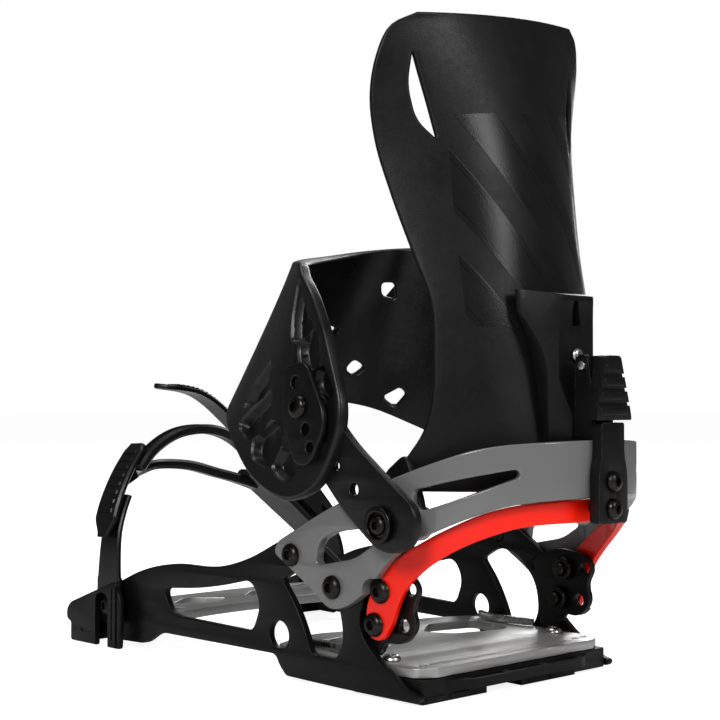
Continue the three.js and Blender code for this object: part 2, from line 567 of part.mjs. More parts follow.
// ---------------------------------------------------------------- ankle strap
const PAD_THICK = 5;
const PAD_LOW = spline([[-69, -57, 71.5], [-69, -42, 69], [-68, -24, 75.5], [-63, -6, 87], [-53, 13, 98],
  [-35, 31, 105], [-8, 42, 108], [20, 42, 107.5], [42, 30, 103], [56, 11, 94], [62, -12, 85], [64, -32, 79]]);
const PAD_HIGH = spline([[-63, -60, 158], [-59, -46, 158], [-51, -29, 159], [-38, -12, 161.5], [-20, 4, 165],
  [4, 15, 169], [28, 19, 173], [46, 14, 175], [57, 1, 174.5], [62, -16, 171], [63.5, -32, 166]]);

function padPoint(u, v, offset) {
  const low = PAD_LOW.getPointAt(u);
  const high = PAD_HIGH.getPointAt(u);
  const along = PAD_LOW.getTangentAt(u).add(PAD_HIGH.getTangentAt(u));
  const up = high.clone().sub(low);
  const inward = new THREE.Vector3().crossVectors(up, along).normalize();
  const rearBulge = -15 * Math.sin(Math.PI * v ** 0.75) * THREE.MathUtils.smoothstep(0.12 - u, 0, 0.12);
  const point = low.addScaledVector(up, v);
  point.y += rearBulge;
  return point.addScaledVector(inward, offset);
}

const MOUNT_BOLT = { y: -54, z: 103 };
const MOUNT_OUT = -70.6;            // mount plate's outer face at its bolt
const MOUNT_LEAN = 0.09;            // radians the plate leans inward with the pad
// Rear edge of the pad's near end, which sweeps forward towards the top.
const PAD_CORNER = [[-110, 175, 0], [-22, 175, 0], [-34, 158.5, 8], [-48.5, 146, 14], [-59, 134, 14],
  [-68, 115, 14], [-73.5, 103, 10], [-110, 90, 0]];
// Pocket in the pad's inner face that seats the strap arm's upper end.
const ARM_POCKET = [[-76, 58, 1], [-60, 71, 8], [-43, 88, 4], [-43, 113, 4], [-62, 113, 4], [-82, 92, 4]];

function anklePad() {
  const shell = bent((u, v, w) => padPoint(u, v, -w * PAD_THICK), 30, 4);
  const pocket = slab(outline(ARM_POCKET), -STRAP_INNER_X - STRAP_THICK - GAP, -55);
  const corner = slab(outline(PAD_CORNER), -90, -30, 6);
  return cut(shell, pocket, corner, rod(3.2, -90, -50, MOUNT_BOLT.y, MOUNT_BOLT.z));
}

function ankleArm() {
  const shape = outline([[-109, 68, 8], [-106, 55, 9], [-91, 52, 8], [-70, 67, 10], [-47, 91, 8],
    [-47, 109, 6], [-59, 109, 6], [-74, 92, 10], [-94, 78, 10]]);
  const holes = [circle(PIVOT_Y, PIVOT_Z, 3.3), circle(MOUNT_BOLT.y, MOUNT_BOLT.z, 3.2), circle(-77, 74, 2.2)];
  const arm = slab(withHoles(shape, holes), -STRAP_INNER_X - STRAP_THICK, -STRAP_INNER_X, 6);
  const boss = withHoles(circle(PIVOT_Y, PIVOT_Z, 7.5, THREE.Shape), [circle(PIVOT_Y, PIVOT_Z, 3.3)]);
  return join(arm, slab(boss, -STRAP_INNER_X - 1, -STRAP_INNER_X + 1.4, 8));
}

function ankleMountPlate() {
  const shape = outline([[-44, 118, 4], [-56, 120, 5], [-70, 98, 8], [-62, 82, 5], [-54, 82, 6], [-45, 98, 8]]);
  const holes = [circle(MOUNT_BOLT.y, MOUNT_BOLT.z, 3.2), circle(-51, 112, 2.2), circle(-58.5, 95, 2.2),
    circle(-61.5, 88.5, 2)];
  return slab(withHoles(shape, holes), MOUNT_OUT, MOUNT_OUT + 2.4);
}

// Leans a piece on the pad's outer face to follow the pad's slope.
function leanOnPad(geometry) {
  const turn = new THREE.Matrix4().makeRotationY(MOUNT_LEAN);
  geometry.translate(-MOUNT_OUT, 0, -MOUNT_BOLT.z).applyMatrix4(turn);
  return geometry.translate(MOUNT_OUT, 0, MOUNT_BOLT.z);
}

// The far strap carries its ladder teeth on the outer face, from the pivot to its free tail.
const ANKLE_BUCKLE = {
  origin: vec(64.2, 6.6, 131),
  along: vec(-0.212, 0.671, 0.71).normalize(),
};
ANKLE_BUCKLE.outward = vec(0.953, 0.302, 0);
ANKLE_BUCKLE.outward.addScaledVector(ANKLE_BUCKLE.along, -ANKLE_BUCKLE.outward.dot(ANKLE_BUCKLE.along)).normalize();

function onBuckle({ origin, along, outward }, forward, out) {
  return origin.clone().addScaledVector(along, forward).addScaledVector(outward, out);
}

function toothed(strap, curve, facing, from, to, count, width) {
  const teeth = [];
  for (let i = 0; i < count; i += 1) {
    const u = from + (to - from) * i / (count - 1);
    const tangent = curve.getTangent(u);
    const out = facing(u).clone().addScaledVector(tangent, -facing(u).dot(tangent)).normalize();
    const across = new THREE.Vector3().crossVectors(out, tangent);
    const tooth = bent((a, b, c) => vec(a * 2 - 1, (b - 0.5) * width, c * 1.4 - 0.4 + (a - 1) * c), 1);
    tooth.applyMatrix4(new THREE.Matrix4().makeBasis(tangent, across, out).setPosition(
      curve.getPoint(u).addScaledVector(out, LADDER_THICK / 2)));
    teeth.push(tooth);
  }
  return join(strap, ...teeth);
}

const LADDER_THICK = 2.2;

function ankleLadder() {
  const arm = outline([[-101, 66, 7], [-98, 54, 8], [-86, 53, 7], [-70, 66, 8], [-64, 78, 6], [-74, 86, 6],
    [-92, 76, 8]]);
  const plate = slab(withHoles(arm, [circle(PIVOT_Y, PIVOT_Z, 3.3)]), STRAP_INNER_X, STRAP_INNER_X + STRAP_THICK, 6);
  const boss = withHoles(circle(PIVOT_Y, PIVOT_Z, 7.5, THREE.Shape), [circle(PIVOT_Y, PIVOT_Z, 3.3)]);
  const curve = new THREE.CatmullRomCurve3([vec(62.9, -76, 74), vec(64.5, -62, 86), vec(68, -42, 99),
    vec(71, -24, 109), onBuckle(ANKLE_BUCKLE, -15, 3.3), onBuckle(ANKLE_BUCKLE, 0, 3.3),
    onBuckle(ANKLE_BUCKLE, 15, 3.3), onBuckle(ANKLE_BUCKLE, 38, 4)], false, 'centripetal');
  const facing = (u) => vec(1, 0, 0).lerp(ANKLE_BUCKLE.outward, THREE.MathUtils.smoothstep(u, 0.2, 0.6));
  const strap = ribbon(curve, facing, (u) => (u < 0.94 ? 15 : 10), LADDER_THICK, 24);
  const seated = join(plate, slab(boss, STRAP_INNER_X - 1.4, STRAP_INNER_X + 1, 8), strap);
  return toothed(seated, curve, facing, 0.4, 0.92, 10, 11);
}

function ankleStrap() {
  add('ankle_strap_arm', ankleArm(), BLACK_PLASTIC);
  add('ankle_pad', anklePad(), BLACK_FOAM);
  add('ankle_mount_plate', leanOnPad(ankleMountPlate()), BLACK_PLASTIC);
  const bolt = buttonBolt({ head: 4.4, dome: 2.2, shank: 2.4 }, 9).rotateZ(Math.PI);
  bolt.translate(MOUNT_OUT - GAP / 2, MOUNT_BOLT.y, MOUNT_BOLT.z);
  add('ankle_mount_bolt', leanOnPad(bolt), BOLT_BLACK);
  buckle('ankle', ANKLE_BUCKLE.origin, ANKLE_BUCKLE.along, ANKLE_BUCKLE.outward);
  add('ankle_ladder', ankleLadder(), BLACK_PLASTIC);
}

// ---------------------------------------------------------------- toe strap
const toeFacing = (centreX, centreZ) => (curve) => (u) => {
  const point = curve.getPoint(u);
  return vec(point.x - centreX, 0, point.z - centreZ).normalize();
};
const toeOut = toeFacing(0, 34);
const toeInnerX = halfWidth(TOE_PIVOT_Y) + 1.95;

function toeAdjustStrap() {
  const curve = spline([[-toeInnerX, 80, 24], [-toeInnerX, 80, 34], [-63.4, 80.5, 48], [-60.4, 81, 57],
    [-57, 81.5, 64]]);
  const strap = ribbon(curve, toeOut(curve), (u) => 17 - 6 * u, 2.2, 12);
  const base = outline([[TOE_PIVOT_Y - 9, 9, 7], [TOE_PIVOT_Y + 9, 9, 7], [TOE_PIVOT_Y + 8.6, 30, 2],
    [TOE_PIVOT_Y - 8.6, 30, 2]]);
  const eye = slab(base, -toeInnerX - 1.1, -toeInnerX + 1.1);
  const holes = [rod(BOLT.hole + 1, -90, -50, TOE_PIVOT_Y, TOE_PIVOT_Z), rod(1.8, -80, -50, 80.5, 38),
    rod(1.8, -80, -50, 80.5, 47)];
  return cut(join(strap, eye), ...holes);
}

function toeSlider() {
  const curve = spline([[-68, 80.5, 46.5], [-64.4, 81, 60], [-57.6, 82, 73.6], [-48.6, 83, 86]]);
  return ribbon(curve, toeOut(curve), (u) => 16 - 3 * u, 2.6, 8);
}

function toeCap() {
  const upper = spline([[-50.6, 80, 76], [-43.4, 80, 84], [-30, 80.5, 91], [-12, 81, 92.5], [2, 82, 88.5],
    [14, 83, 80], [25, 84, 68]]);
  const lower = spline([[-51.6, 85, 71.6], [-45, 90, 73.5], [-32, 95, 76.3], [-12, 97, 75.5], [4, 96.5, 71.5],
    [15, 95, 68.5], [25, 93, 65]]);
  const far = spline([[17, 87, 71.5], [24, 87, 66.3], [34, 86.8, 58.2], [45, 86.2, 49.1], [55.5, 85.5, 40.4]]);
  const bands = [upper, lower].map((curve) => ribbon(curve, toeOut(curve), () => 8, 4.4, 18));
  const plate = ribbon(far, toeOut(far), (u) => 26 - 6 * u, 3.2, 10);
  return join(bands[0], bands[1], plate);
}

const TOE_BUCKLE = {
  origin: vec(47, 86.2, 52),
  along: vec(-0.77, 0, 0.64).normalize(),
  outward: vec(0.64, 0, 0.77).normalize(),
};

function toeLadder() {
  const curve = new THREE.CatmullRomCurve3([vec(toeInnerX, 80, 23), vec(toeInnerX, 80.5, 30),
    vec(64.4, 82.5, 37), onBuckle(TOE_BUCKLE, -16, 4.2), onBuckle(TOE_BUCKLE, 0, 3.3),
    onBuckle(TOE_BUCKLE, 15, 3.3), vec(22, 87.5, 80), vec(6, 89, 96.5), vec(-12, 90, 109),
    vec(-34, 91, 112.5)], false, 'centripetal');
  const facing = toeOut(curve);
  const strap = ribbon(curve, facing, (u) => (u < 0.97 ? 14 : 8), LADDER_THICK, 28);
  const base = outline([[TOE_PIVOT_Y - 9, 9, 7], [TOE_PIVOT_Y + 9, 9, 7], [TOE_PIVOT_Y + 7.6, 30, 2],
    [TOE_PIVOT_Y - 7.6, 30, 2]]);
  const eye = slab(base, toeInnerX - 1.1, toeInnerX + 1.1);
  const hole = rod(BOLT.hole + 1, 50, 90, TOE_PIVOT_Y, TOE_PIVOT_Z);
  return toothed(cut(join(strap, eye), hole), curve, facing, 0.36, 0.9, 16, 10);
}

function toeStrap() {
  add('toe_adjust_strap', toeAdjustStrap(), BLACK_PLASTIC);
  add('toe_slider', toeSlider(), BLACK_PLASTIC);
  add('toe_cap', toeCap(), BLACK_PLASTIC);
  buckle('toe', TOE_BUCKLE.origin, TOE_BUCKLE.along, TOE_BUCKLE.outward);
  add('toe_ladder', toeLadder(), BLACK_PLASTIC);
  for (const { label, sign } of SIDES) {
    const bolt = buttonBolt({ head: 4, dome: 1.8, shank: 3 }, 6);
    if (sign < 0) bolt.rotateZ(Math.PI);
    const seat = sign * (toeInnerX + 1.1 + GAP);
    add(`toe_strap_bolt_${label}`, bolt, BOLT_BLACK).position.set(seat, TOE_PIVOT_Y, TOE_PIVOT_Z);
  }
}

chassisSides();
decks();
hoops();
highbackGroup();
ankleStrap();
toeStrap();

export default model;
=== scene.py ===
"""Looks of a splitboard touring binding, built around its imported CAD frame.

Sizes and places are in millimetres of the row frame, and meshes are stored in metres.
"""

import json
import math

import bmesh
import bpy
import numpy as np
from mathutils import Matrix, Vector


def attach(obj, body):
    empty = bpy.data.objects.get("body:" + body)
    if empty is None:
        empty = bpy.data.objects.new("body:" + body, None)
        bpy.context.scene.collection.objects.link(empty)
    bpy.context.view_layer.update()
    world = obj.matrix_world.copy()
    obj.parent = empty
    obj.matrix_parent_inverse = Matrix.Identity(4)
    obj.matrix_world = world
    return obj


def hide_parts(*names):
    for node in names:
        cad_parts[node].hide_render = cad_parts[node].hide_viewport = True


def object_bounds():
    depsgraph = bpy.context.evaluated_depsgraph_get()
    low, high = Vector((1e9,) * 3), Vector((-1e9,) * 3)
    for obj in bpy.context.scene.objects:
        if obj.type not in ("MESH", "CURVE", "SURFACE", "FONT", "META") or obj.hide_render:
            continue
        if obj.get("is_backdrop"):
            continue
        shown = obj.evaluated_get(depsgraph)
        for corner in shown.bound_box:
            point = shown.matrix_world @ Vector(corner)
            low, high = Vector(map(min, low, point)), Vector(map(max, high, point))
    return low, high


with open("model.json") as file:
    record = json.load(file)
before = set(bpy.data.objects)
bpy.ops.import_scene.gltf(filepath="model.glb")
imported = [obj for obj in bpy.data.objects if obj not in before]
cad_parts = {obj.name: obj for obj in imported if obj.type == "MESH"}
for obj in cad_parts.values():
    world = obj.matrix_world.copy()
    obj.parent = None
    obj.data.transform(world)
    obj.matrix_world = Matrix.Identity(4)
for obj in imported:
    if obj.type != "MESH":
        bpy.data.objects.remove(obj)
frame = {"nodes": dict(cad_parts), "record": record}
cad_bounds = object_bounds()
BODIES = frame["record"]["behaviour"]["bodies"]
BODY_OF = {node: body for body, nodes in BODIES.items() for node in nodes}
SLOT_OF = {part["node"]: part["material_slot"] for part in frame["record"]["subparts"]}

# ---------------- driving dimensions
HALF_WIDTH = 58.9          # outer half width of the chassis at y = 0
FLARE = 0.05               # growth of the half width for each mm towards the toe
PLATE = 3                  # thickness of the side plates
GAP = 0.3                  # clearance between pieces
HOOP_CENTRE_Y = -77        # centre of the hoops' half circle
HOOP_THICK = 4
PIVOT = (-91, 62.5)        # y and z of the highback and ankle strap pivot
TOE_PIVOT = (80, 17)       # y and z of the toe strap pivot
HOOP_BOLTS = ((-39, 48), (-61, 38))
LEG_BOLTS = ((-81, 38), (-78, 26))
LEG_NUT_OUT = -10.3        # outboard distance of the nuts on the inner brackets
LINK_SCREW_Z, LINK_RIVET_Z = 77, 67.5
LINK_REAR_Y = -140.9
REAR_DECK_TOP = 12
FRONT_DECK_TOP = 15.5
DECK_SCREW = (45, -76)
EAR_INNER_X, EAR_OUTER_X = 47.8, 51.1
STRAP_NUT_X = 44.9
STRAP_INNER_X = 61
STRAP_THICK = 3.5
TOE_INNER_X = HALF_WIDTH + FLARE * TOE_PIVOT[0] + 1.95
TOE_EYE_HALF = 1.1         # half the thickness of the toe strap's eyes
MM = 0.001


def half_width(y):
    return HALF_WIDTH + FLARE * y


def smooth(x, low, high):
    """0 below low, 1 above high, and an easy ramp between them."""
    t = min(1, max(0, (x - low) / (high - low)))
    return t * t * (3 - 2 * t)


def unit(vector):
    vector = np.array(vector, float)
    return vector / np.linalg.norm(vector)


# ---------------- outlines
def bend(start, middle, end, steps):
    """Points of a curve from start to end that leans towards middle."""
    start, middle, end = (np.array(place, float) for place in (start, middle, end))
    points = []
    for k in range(steps + 1):
        t = k / steps
        points.append(tuple((1 - t) ** 2 * start + 2 * t * (1 - t) * middle + t * t * end))
    return points


def rounded(corners, steps=8):
    """Closed outline of (u, v) points through corners (u, v, radius) with curved corners."""
    points = []
    for i, (u, v, radius) in enumerate(corners):
        here = np.array((u, v), float)
        before = np.array(corners[i - 1][:2]) - here
        after = np.array(corners[(i + 1) % len(corners)][:2]) - here
        lengths = np.linalg.norm(before), np.linalg.norm(after)
        reach = min(radius, lengths[0] * 0.49, lengths[1] * 0.49)
        if reach < 0.05:
            points.append(tuple(here))
            continue
        start, end = here + before / lengths[0] * reach, here + after / lengths[1] * reach
        points += bend(start, here, end, steps)
    return points


def circle(u, v, radius, steps=28):
    turns = [2 * math.pi * k / steps for k in range(steps)]
    return [(u + radius * math.cos(a), v + radius * math.sin(a)) for a in turns]


def densified(loop, step):
    """The same closed outline with no side longer than step."""
    points = []
    for i, here in enumerate(loop):
        after = loop[(i + 1) % len(loop)]
        count = max(1, math.ceil(math.dist(here, after) / step))
        points += [tuple(np.array(here) + (np.array(after) - here) * k / count) for k in range(count)]
    return points


def winding(loop):
    """1 for an outline that runs anticlockwise, -1 for one that runs clockwise."""
    p = np.array(loop, float)
    return math.copysign(1, np.sum(p[:, 0] * np.roll(p[:, 1], -1) - np.roll(p[:, 0], -1) * p[:, 1]))


def lengths_of(rows):
    return np.linalg.norm(rows, axis=1)[:, None]


def inset(loop, amount):
    """Outline moved inwards by amount, or outwards where amount is negative."""
    p = np.array(loop, float)
    ahead, behind = np.roll(p, -1, 0) - p, p - np.roll(p, 1, 0)
    along = ahead / lengths_of(ahead) + behind / lengths_of(behind)
    along /= np.maximum(lengths_of(along), 1e-6)
    inward = np.stack((-along[:, 1], along[:, 0]), 1) * winding(loop)
    return [tuple(q) for q in p + inward * amount]


def spline(points, per_span=24):
    """Centripetal Catmull-Rom curve through the points, as a function of 0 to 1 along its length."""
    p = np.array(points, float)
    ends = np.vstack((2 * p[0] - p[1], p, 2 * p[-1] - p[-2]))
    line = []
    for i in range(len(p) - 1):
        a, b, c, d = ends[i:i + 4]
        t0, t1, t2 = [max(math.sqrt(np.linalg.norm(q)), 1e-6) for q in (b - a, c - b, d - c)]
        leave = ((b - a) / t0 - (c - a) / (t0 + t1) + (c - b) / t1) * t1
        reach = ((c - b) / t1 - (d - b) / (t1 + t2) + (d - c) / t2) * t1
        for k in range(per_span):
            u = k / per_span
            bend = (3 * (c - b) - 2 * leave - reach) * u * u + (2 * (b - c) + leave + reach) * u ** 3
            line.append(b + leave * u + bend)
    line = np.array(line + [p[-1]])
    along = np.r_[0, np.cumsum(np.linalg.norm(np.diff(line, axis=0), axis=1))]
    total = along[-1]

    def at(u):
        return np.array([np.interp(u, along / total, line[:, j]) for j in range(line.shape[1])])
    at.length = total
    return at


# ---------------- meshes, in millimetres
def collect(obj):
    """Mesh of obj with its modifiers applied; obj is removed."""
    bpy.context.view_layer.update()
    shaped = obj.evaluated_get(bpy.context.evaluated_depsgraph_get())
    mesh = bpy.data.meshes.new_from_object(shaped)
    bpy.data.objects.remove(obj)
    return mesh


def link(data):
    """New object in the scene with this mesh or curve."""
    obj = bpy.data.objects.new("work", data)
    bpy.context.scene.collection.objects.link(obj)
    return obj


def opened(*meshes):
    """Editable mesh that holds all of these."""
    work = bmesh.new()
    for mesh in meshes:
        work.from_mesh(mesh)
    return work


def stored(work, mesh=None):
    mesh = mesh or bpy.data.meshes.new("piece")
    work.to_mesh(mesh)
    work.free()
    return mesh


def to_mesh(work, mesh=None):
    """Stores an edited mesh with its faces pointing outwards."""
    bmesh.ops.recalc_face_normals(work, faces=work.faces)
    return stored(work, mesh)


def joined(*meshes):
    return stored(opened(*meshes))


def flat(outer, holes, low, high, edge=0.35, rings=1):
    """Plate drawn in (x, y) from z = low to high, its rims rounded by edge."""
    curve = bpy.data.curves.new("flat", "CURVE")
    curve.dimensions, curve.fill_mode = "2D", "BOTH"
    curve.extrude, curve.bevel_depth = (high - low) / 2 - edge, edge
    curve.bevel_resolution, curve.offset = rings, -edge
    for loop, turn in [(outer, 1), *((hole, -1) for hole in holes)]:
        loop = loop if turn * winding(loop) > 0 else loop[::-1]
        line = curve.splines.new("POLY")
        line.points.add(len(loop) - 1)
        line.use_cyclic_u = True
        for point, (u, v) in zip(line.points, loop):
            point.co = (u, v, 0, 1)
    mesh = collect(link(curve))
    work = opened(mesh)
    bmesh.ops.remove_doubles(work, verts=work.verts, dist=1e-4)
    bmesh.ops.translate(work, verts=work.verts, vec=(0, 0, (low + high) / 2))
    return to_mesh(work, mesh)


def loft(loops):
    """Closed solid through loops of equal length, each a list of 3D points, with flat ends."""
    work = bmesh.new()
    rings = [[work.verts.new(p) for p in loop] for loop in loops]
    count = len(rings[0])
    for lower, upper in zip(rings, rings[1:]):
        for i in range(count):
            j = (i + 1) % count
            work.faces.new((lower[i], lower[j], upper[j], upper[i]))
    work.faces.new(rings[0][::-1])
    work.faces.new(rings[-1])
    return to_mesh(work)


def stacked(loops_at):
    """Loft of flat outlines, given as [(outline, z), ...]."""
    return loft([[(u, v, z) for u, v in loop] for loop, z in loops_at])


def block(low, high, edge=0.3):
    """Box between two corners with softened edges."""
    size = [h - l for l, h in zip(low, high)]
    work = bmesh.new()
    bmesh.ops.create_cube(work, size=1)
    bmesh.ops.scale(work, verts=work.verts, vec=size)
    bmesh.ops.translate(work, verts=work.verts, vec=[(l + h) / 2 for l, h in zip(low, high)])
    if edge:
        bmesh.ops.bevel(work, geom=work.edges, offset=edge, segments=2, affect="EDGES", profile=0.6)
    return to_mesh(work)


def turned(profile, steps=36, lobes=0, depth=0.0):
    """Solid of revolution about +Z from [(radius, z), ...]; a negative radius gets lobes."""
    loops = []
    for radius, z in profile:
        ring = []
        for k in range(steps):
            a = 2 * math.pi * k / steps
            r = abs(radius) * (1 + (depth * math.cos(lobes * a) if radius < 0 else 0))
            ring.append((r * math.cos(a), r * math.sin(a), z))
        loops.append(ring)
    return loft(loops)


def boolean(mesh, tools, operation="DIFFERENCE"):
    """Mesh with the tools cut out of it, or added to it."""
    obj = link(mesh)
    helpers = [link(tool) for tool in tools]
    for helper in helpers:
        step = obj.modifiers.new("cut", "BOOLEAN")
        step.object, step.operation, step.solver = helper, operation, "EXACT"
    result = collect(obj)
    for helper in helpers:
        bpy.data.objects.remove(helper)
    return result


def moved(mesh, matrix):
    mesh.transform(matrix)
    return mesh


def at(mesh, *place):
    return moved(mesh, Matrix.Translation(place))


def sliced(mesh, axis, places):
    """Adds edges where the mesh crosses each place along an axis, so that it can bend there."""
    work = opened(mesh)
    normal = Vector((axis == 0, axis == 1, axis == 2))
    for place in places:
        bmesh.ops.bisect_plane(work, geom=[*work.verts, *work.edges, *work.faces], dist=1e-5,
                               plane_co=normal * place, plane_no=normal)
    return stored(work, mesh)


def wrapped(mesh, place):
    """Moves each vertex to place(x, y, z), and keeps where it was, flat, for the materials."""
    points = np.zeros(len(mesh.vertices) * 3)
    mesh.vertices.foreach_get("co", points)
    points = points.reshape(-1, 3)
    kept = mesh.attributes.new("flat", "FLOAT_VECTOR", "POINT")
    kept.data.foreach_set("vector", points.astype(np.float32).ravel())
    bent = np.array([place(*p) for p in points], dtype=np.float32)
    mesh.vertices.foreach_set("co", bent.ravel())
    mesh.update()
    return mesh


def softened(mesh, edge=0.35, angle=35, segments=2):
    """Rounds the sharp edges of a plain solid."""
    obj = link(mesh)
    bevel = obj.modifiers.new("bevel", "BEVEL")
    bevel.width, bevel.segments, bevel.limit_method = edge, segments, "ANGLE"
    bevel.angle_limit, bevel.use_clamp_overlap = math.radians(angle), True
    return collect(obj)


def cad(node, edge=0.35, angle=35, segments=2):
    """Mesh of a CAD node in millimetres, its flats merged and its sharp edges rounded."""
    work = opened(frame["nodes"][node].data)
    work.transform(Matrix.Scale(1000, 4) @ frame["nodes"][node].matrix_world)
    bmesh.ops.remove_doubles(work, verts=work.verts, dist=1e-3)
    bmesh.ops.dissolve_limit(work, angle_limit=math.radians(1), verts=work.verts, edges=work.edges)
    return softened(to_mesh(work), edge, angle, segments)


def piece(node, mesh, angle=32, material=None):
    """Turns a mesh into the piece that stands for a CAD node, in its place and on its body."""
    work = opened(mesh)
    bmesh.ops.remove_doubles(work, verts=work.verts, dist=1e-4)
    loose = [vert for vert in work.verts if not vert.link_faces]
    bmesh.ops.delete(work, geom=loose, context="VERTS")
    to_mesh(work, mesh)
    mesh.transform(Matrix.Scale(MM, 4))
    mesh.shade_smooth()
    mesh.set_sharp_from_angle(angle=math.radians(angle))
    mesh.materials.clear()
    mesh.materials.append(material or LOOKS[SLOT_OF[node]])
    obj = bpy.data.objects.new(f"{node}_look", mesh)
    bpy.context.scene.collection.objects.link(obj)
    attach(obj, BODY_OF[node])
    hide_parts(node)
    return obj


# ---------------- sheets that follow a surface
TO_SIDE = Matrix(((0, 0, 1, 0), (1, 0, 0, 0), (0, 1, 0, 0), (0, 0, 0, 1)))      # (y, z, x) to (x, y, z)
SIDES = (("left", -1), ("right", 1))
MIRROR = Matrix.Scale(-1, 4, (1, 0, 0))


def facing_out(sign, mesh):
    """From (y, z, x) to the row frame, on the right, or mirrored on the left."""
    moved(mesh, TO_SIDE)
    return moved(mesh, MIRROR) if sign < 0 else mesh


def side_frame(sign):
    """From (y, z, distance outboard) on a side plate to the row frame."""
    c, s = math.cos(math.atan(FLARE)), math.sin(math.atan(FLARE))

    def place(y, z, out):
        return sign * (HALF_WIDTH + out * c + s * y), c * y - s * out, z
    return place


def on_side(sign, mesh):
    return wrapped(mesh, side_frame(sign))


def strap_frame(curve, facing, u):
    """Point of a strap at u, and the directions along it, out of its face and across it."""
    point = curve(u)
    along = unit(curve(min(1, u + 1e-3)) - curve(max(0, u - 1e-3)))
    out = np.array(facing(point), float)
    out = unit(out - along * out.dot(along))
    return point, along, out, np.cross(out, along)


def swept(curve, facing, section, steps, start=0.0, end=1.0):
    """Solid along a curve; section(u) gives its (across, out) outline."""
    loops = []
    for k in range(steps + 1):
        u = start + (end - start) * k / steps
        point, _, out, across = strap_frame(curve, facing, u)
        loops.append([tuple(point + across * a + out * b) for a, b in section(u)])
    return loft(loops)


def strip_section(width, thick, round_edge=0.7, groove=0.0, lip=0.0):
    """Outline of a moulded strap across its length, with a groove along its outer face."""
    h, t, r = width / 2, thick / 2, round_edge
    points = [(-h + r, -t), (0, -t), (h - r, -t), (h, -t + r), (h, t - r), (h - r, t)]
    if groove:
        inner, floor = h - lip, t - groove
        points += [(inner, t), (inner - 0.5, floor), (0, floor), (0.5 - inner, floor), (-inner, t)]
    else:
        points += [(0, t)]
    return points + [(r - h, t), (-h, t - r), (-h, -t + r)]


# ---------------- materials
class Finish:
    """One procedural material; lengths in its textures are in millimetres."""

    def __init__(self, name, colour, roughness, **sockets):
        self.material = bpy.data.materials.new(name)
        self.material.use_nodes = True
        self.tree = self.material.node_tree
        self.shader = self.tree.nodes["Principled BSDF"]
        self.shader.inputs["Base Color"].default_value = (*colour, 1)
        self.shader.inputs["Roughness"].default_value = roughness
        for socket, value in sockets.items():
            self.shader.inputs[socket.replace("_", " ")].default_value = value
        self.normal = None

    def node(self, kind, links=(), **settings):
        made = self.tree.nodes.new(kind)
        for key, value in settings.items():
            setattr(made, key, value)
        for key, value in dict(links).items():
            if isinstance(value, bpy.types.NodeSocket):
                self.tree.links.new(value, made.inputs[key])
            else:
                made.inputs[key].default_value = value
        return made

    def place(self, stretch=(1, 1, 1)):
        """Place on the object in millimetres, times stretch."""
        source = self.node("ShaderNodeTexCoord").outputs["Object"]
        links = {"Vector": source, "Scale": tuple(s / MM for s in stretch)}
        return self.node("ShaderNodeMapping", links).outputs["Vector"]

    def noise(self, size, detail=3, stretch=(1, 1, 1)):
        """Soft noise whose blobs are about size across."""
        where = self.place(stretch)
        links = {"Vector": where, "Scale": 1 / size, "Detail": detail, "Roughness": 0.55}
        return self.node("ShaderNodeTexNoise", links).outputs["Fac"]

    def grains(self, size):
        """Cells about size across."""
        links = {"Vector": self.place(), "Scale": 1 / size}
        return self.node("ShaderNodeTexVoronoi", links).outputs["Distance"]

    def spread(self, source, low, high, start=0.3, end=0.7):
        """Low to high as source goes from start to end."""
        links = {"Value": source, "From Min": start, "From Max": end, "To Min": low, "To Max": high}
        return self.node("ShaderNodeMapRange", links).outputs["Result"]

    def maths(self, operation, a, b=0.0):
        return self.node("ShaderNodeMath", {0: a, 1: b}, operation=operation).outputs[0]

    def edges(self, radius=0.5):
        """1 on convex and concave edges, 0 on flats."""
        soft = self.node("ShaderNodeBevel", {"Radius": radius * MM}, samples=4).outputs["Normal"]
        true = self.node("ShaderNodeNewGeometry").outputs["Normal"]
        dot = self.node("ShaderNodeVectorMath", {0: soft, 1: true}, operation="DOT_PRODUCT")
        return self.spread(dot.outputs["Value"], 1, 0, 0.78, 0.985)

    def tint(self, mask, colour):
        """Mixes a second colour over what is there, by mask."""
        base = self.shader.inputs["Base Color"]
        mix = self.node("ShaderNodeMix", data_type="RGBA")
        self.tree.links.new(mask, mix.inputs["Factor"])
        if base.is_linked:
            self.tree.links.new(base.links[0].from_socket, mix.inputs["A"])
        else:
            mix.inputs["A"].default_value = base.default_value[:]
        mix.inputs["B"].default_value = (*colour, 1)
        self.tree.links.new(mix.outputs["Result"], base)
        return self

    def worn(self, radius, size, detail, low, high, start, end, colour):
        """Tints edges of this radius where noise of this size goes from start to end."""
        patches = self.spread(self.noise(size, detail), low, high, start, end)
        return self.tint(self.maths("MULTIPLY", self.edges(radius), patches), colour)

    def rough(self, source):
        self.tree.links.new(source, self.shader.inputs["Roughness"])
        return self

    def bump(self, source, height, strength=1.0):
        links = {"Height": source, "Distance": height * MM, "Strength": strength}
        if self.normal is not None:
            links["Normal"] = self.normal
        self.normal = self.node("ShaderNodeBump", links).outputs["Normal"]
        self.tree.links.new(self.normal, self.shader.inputs["Normal"])
        return self


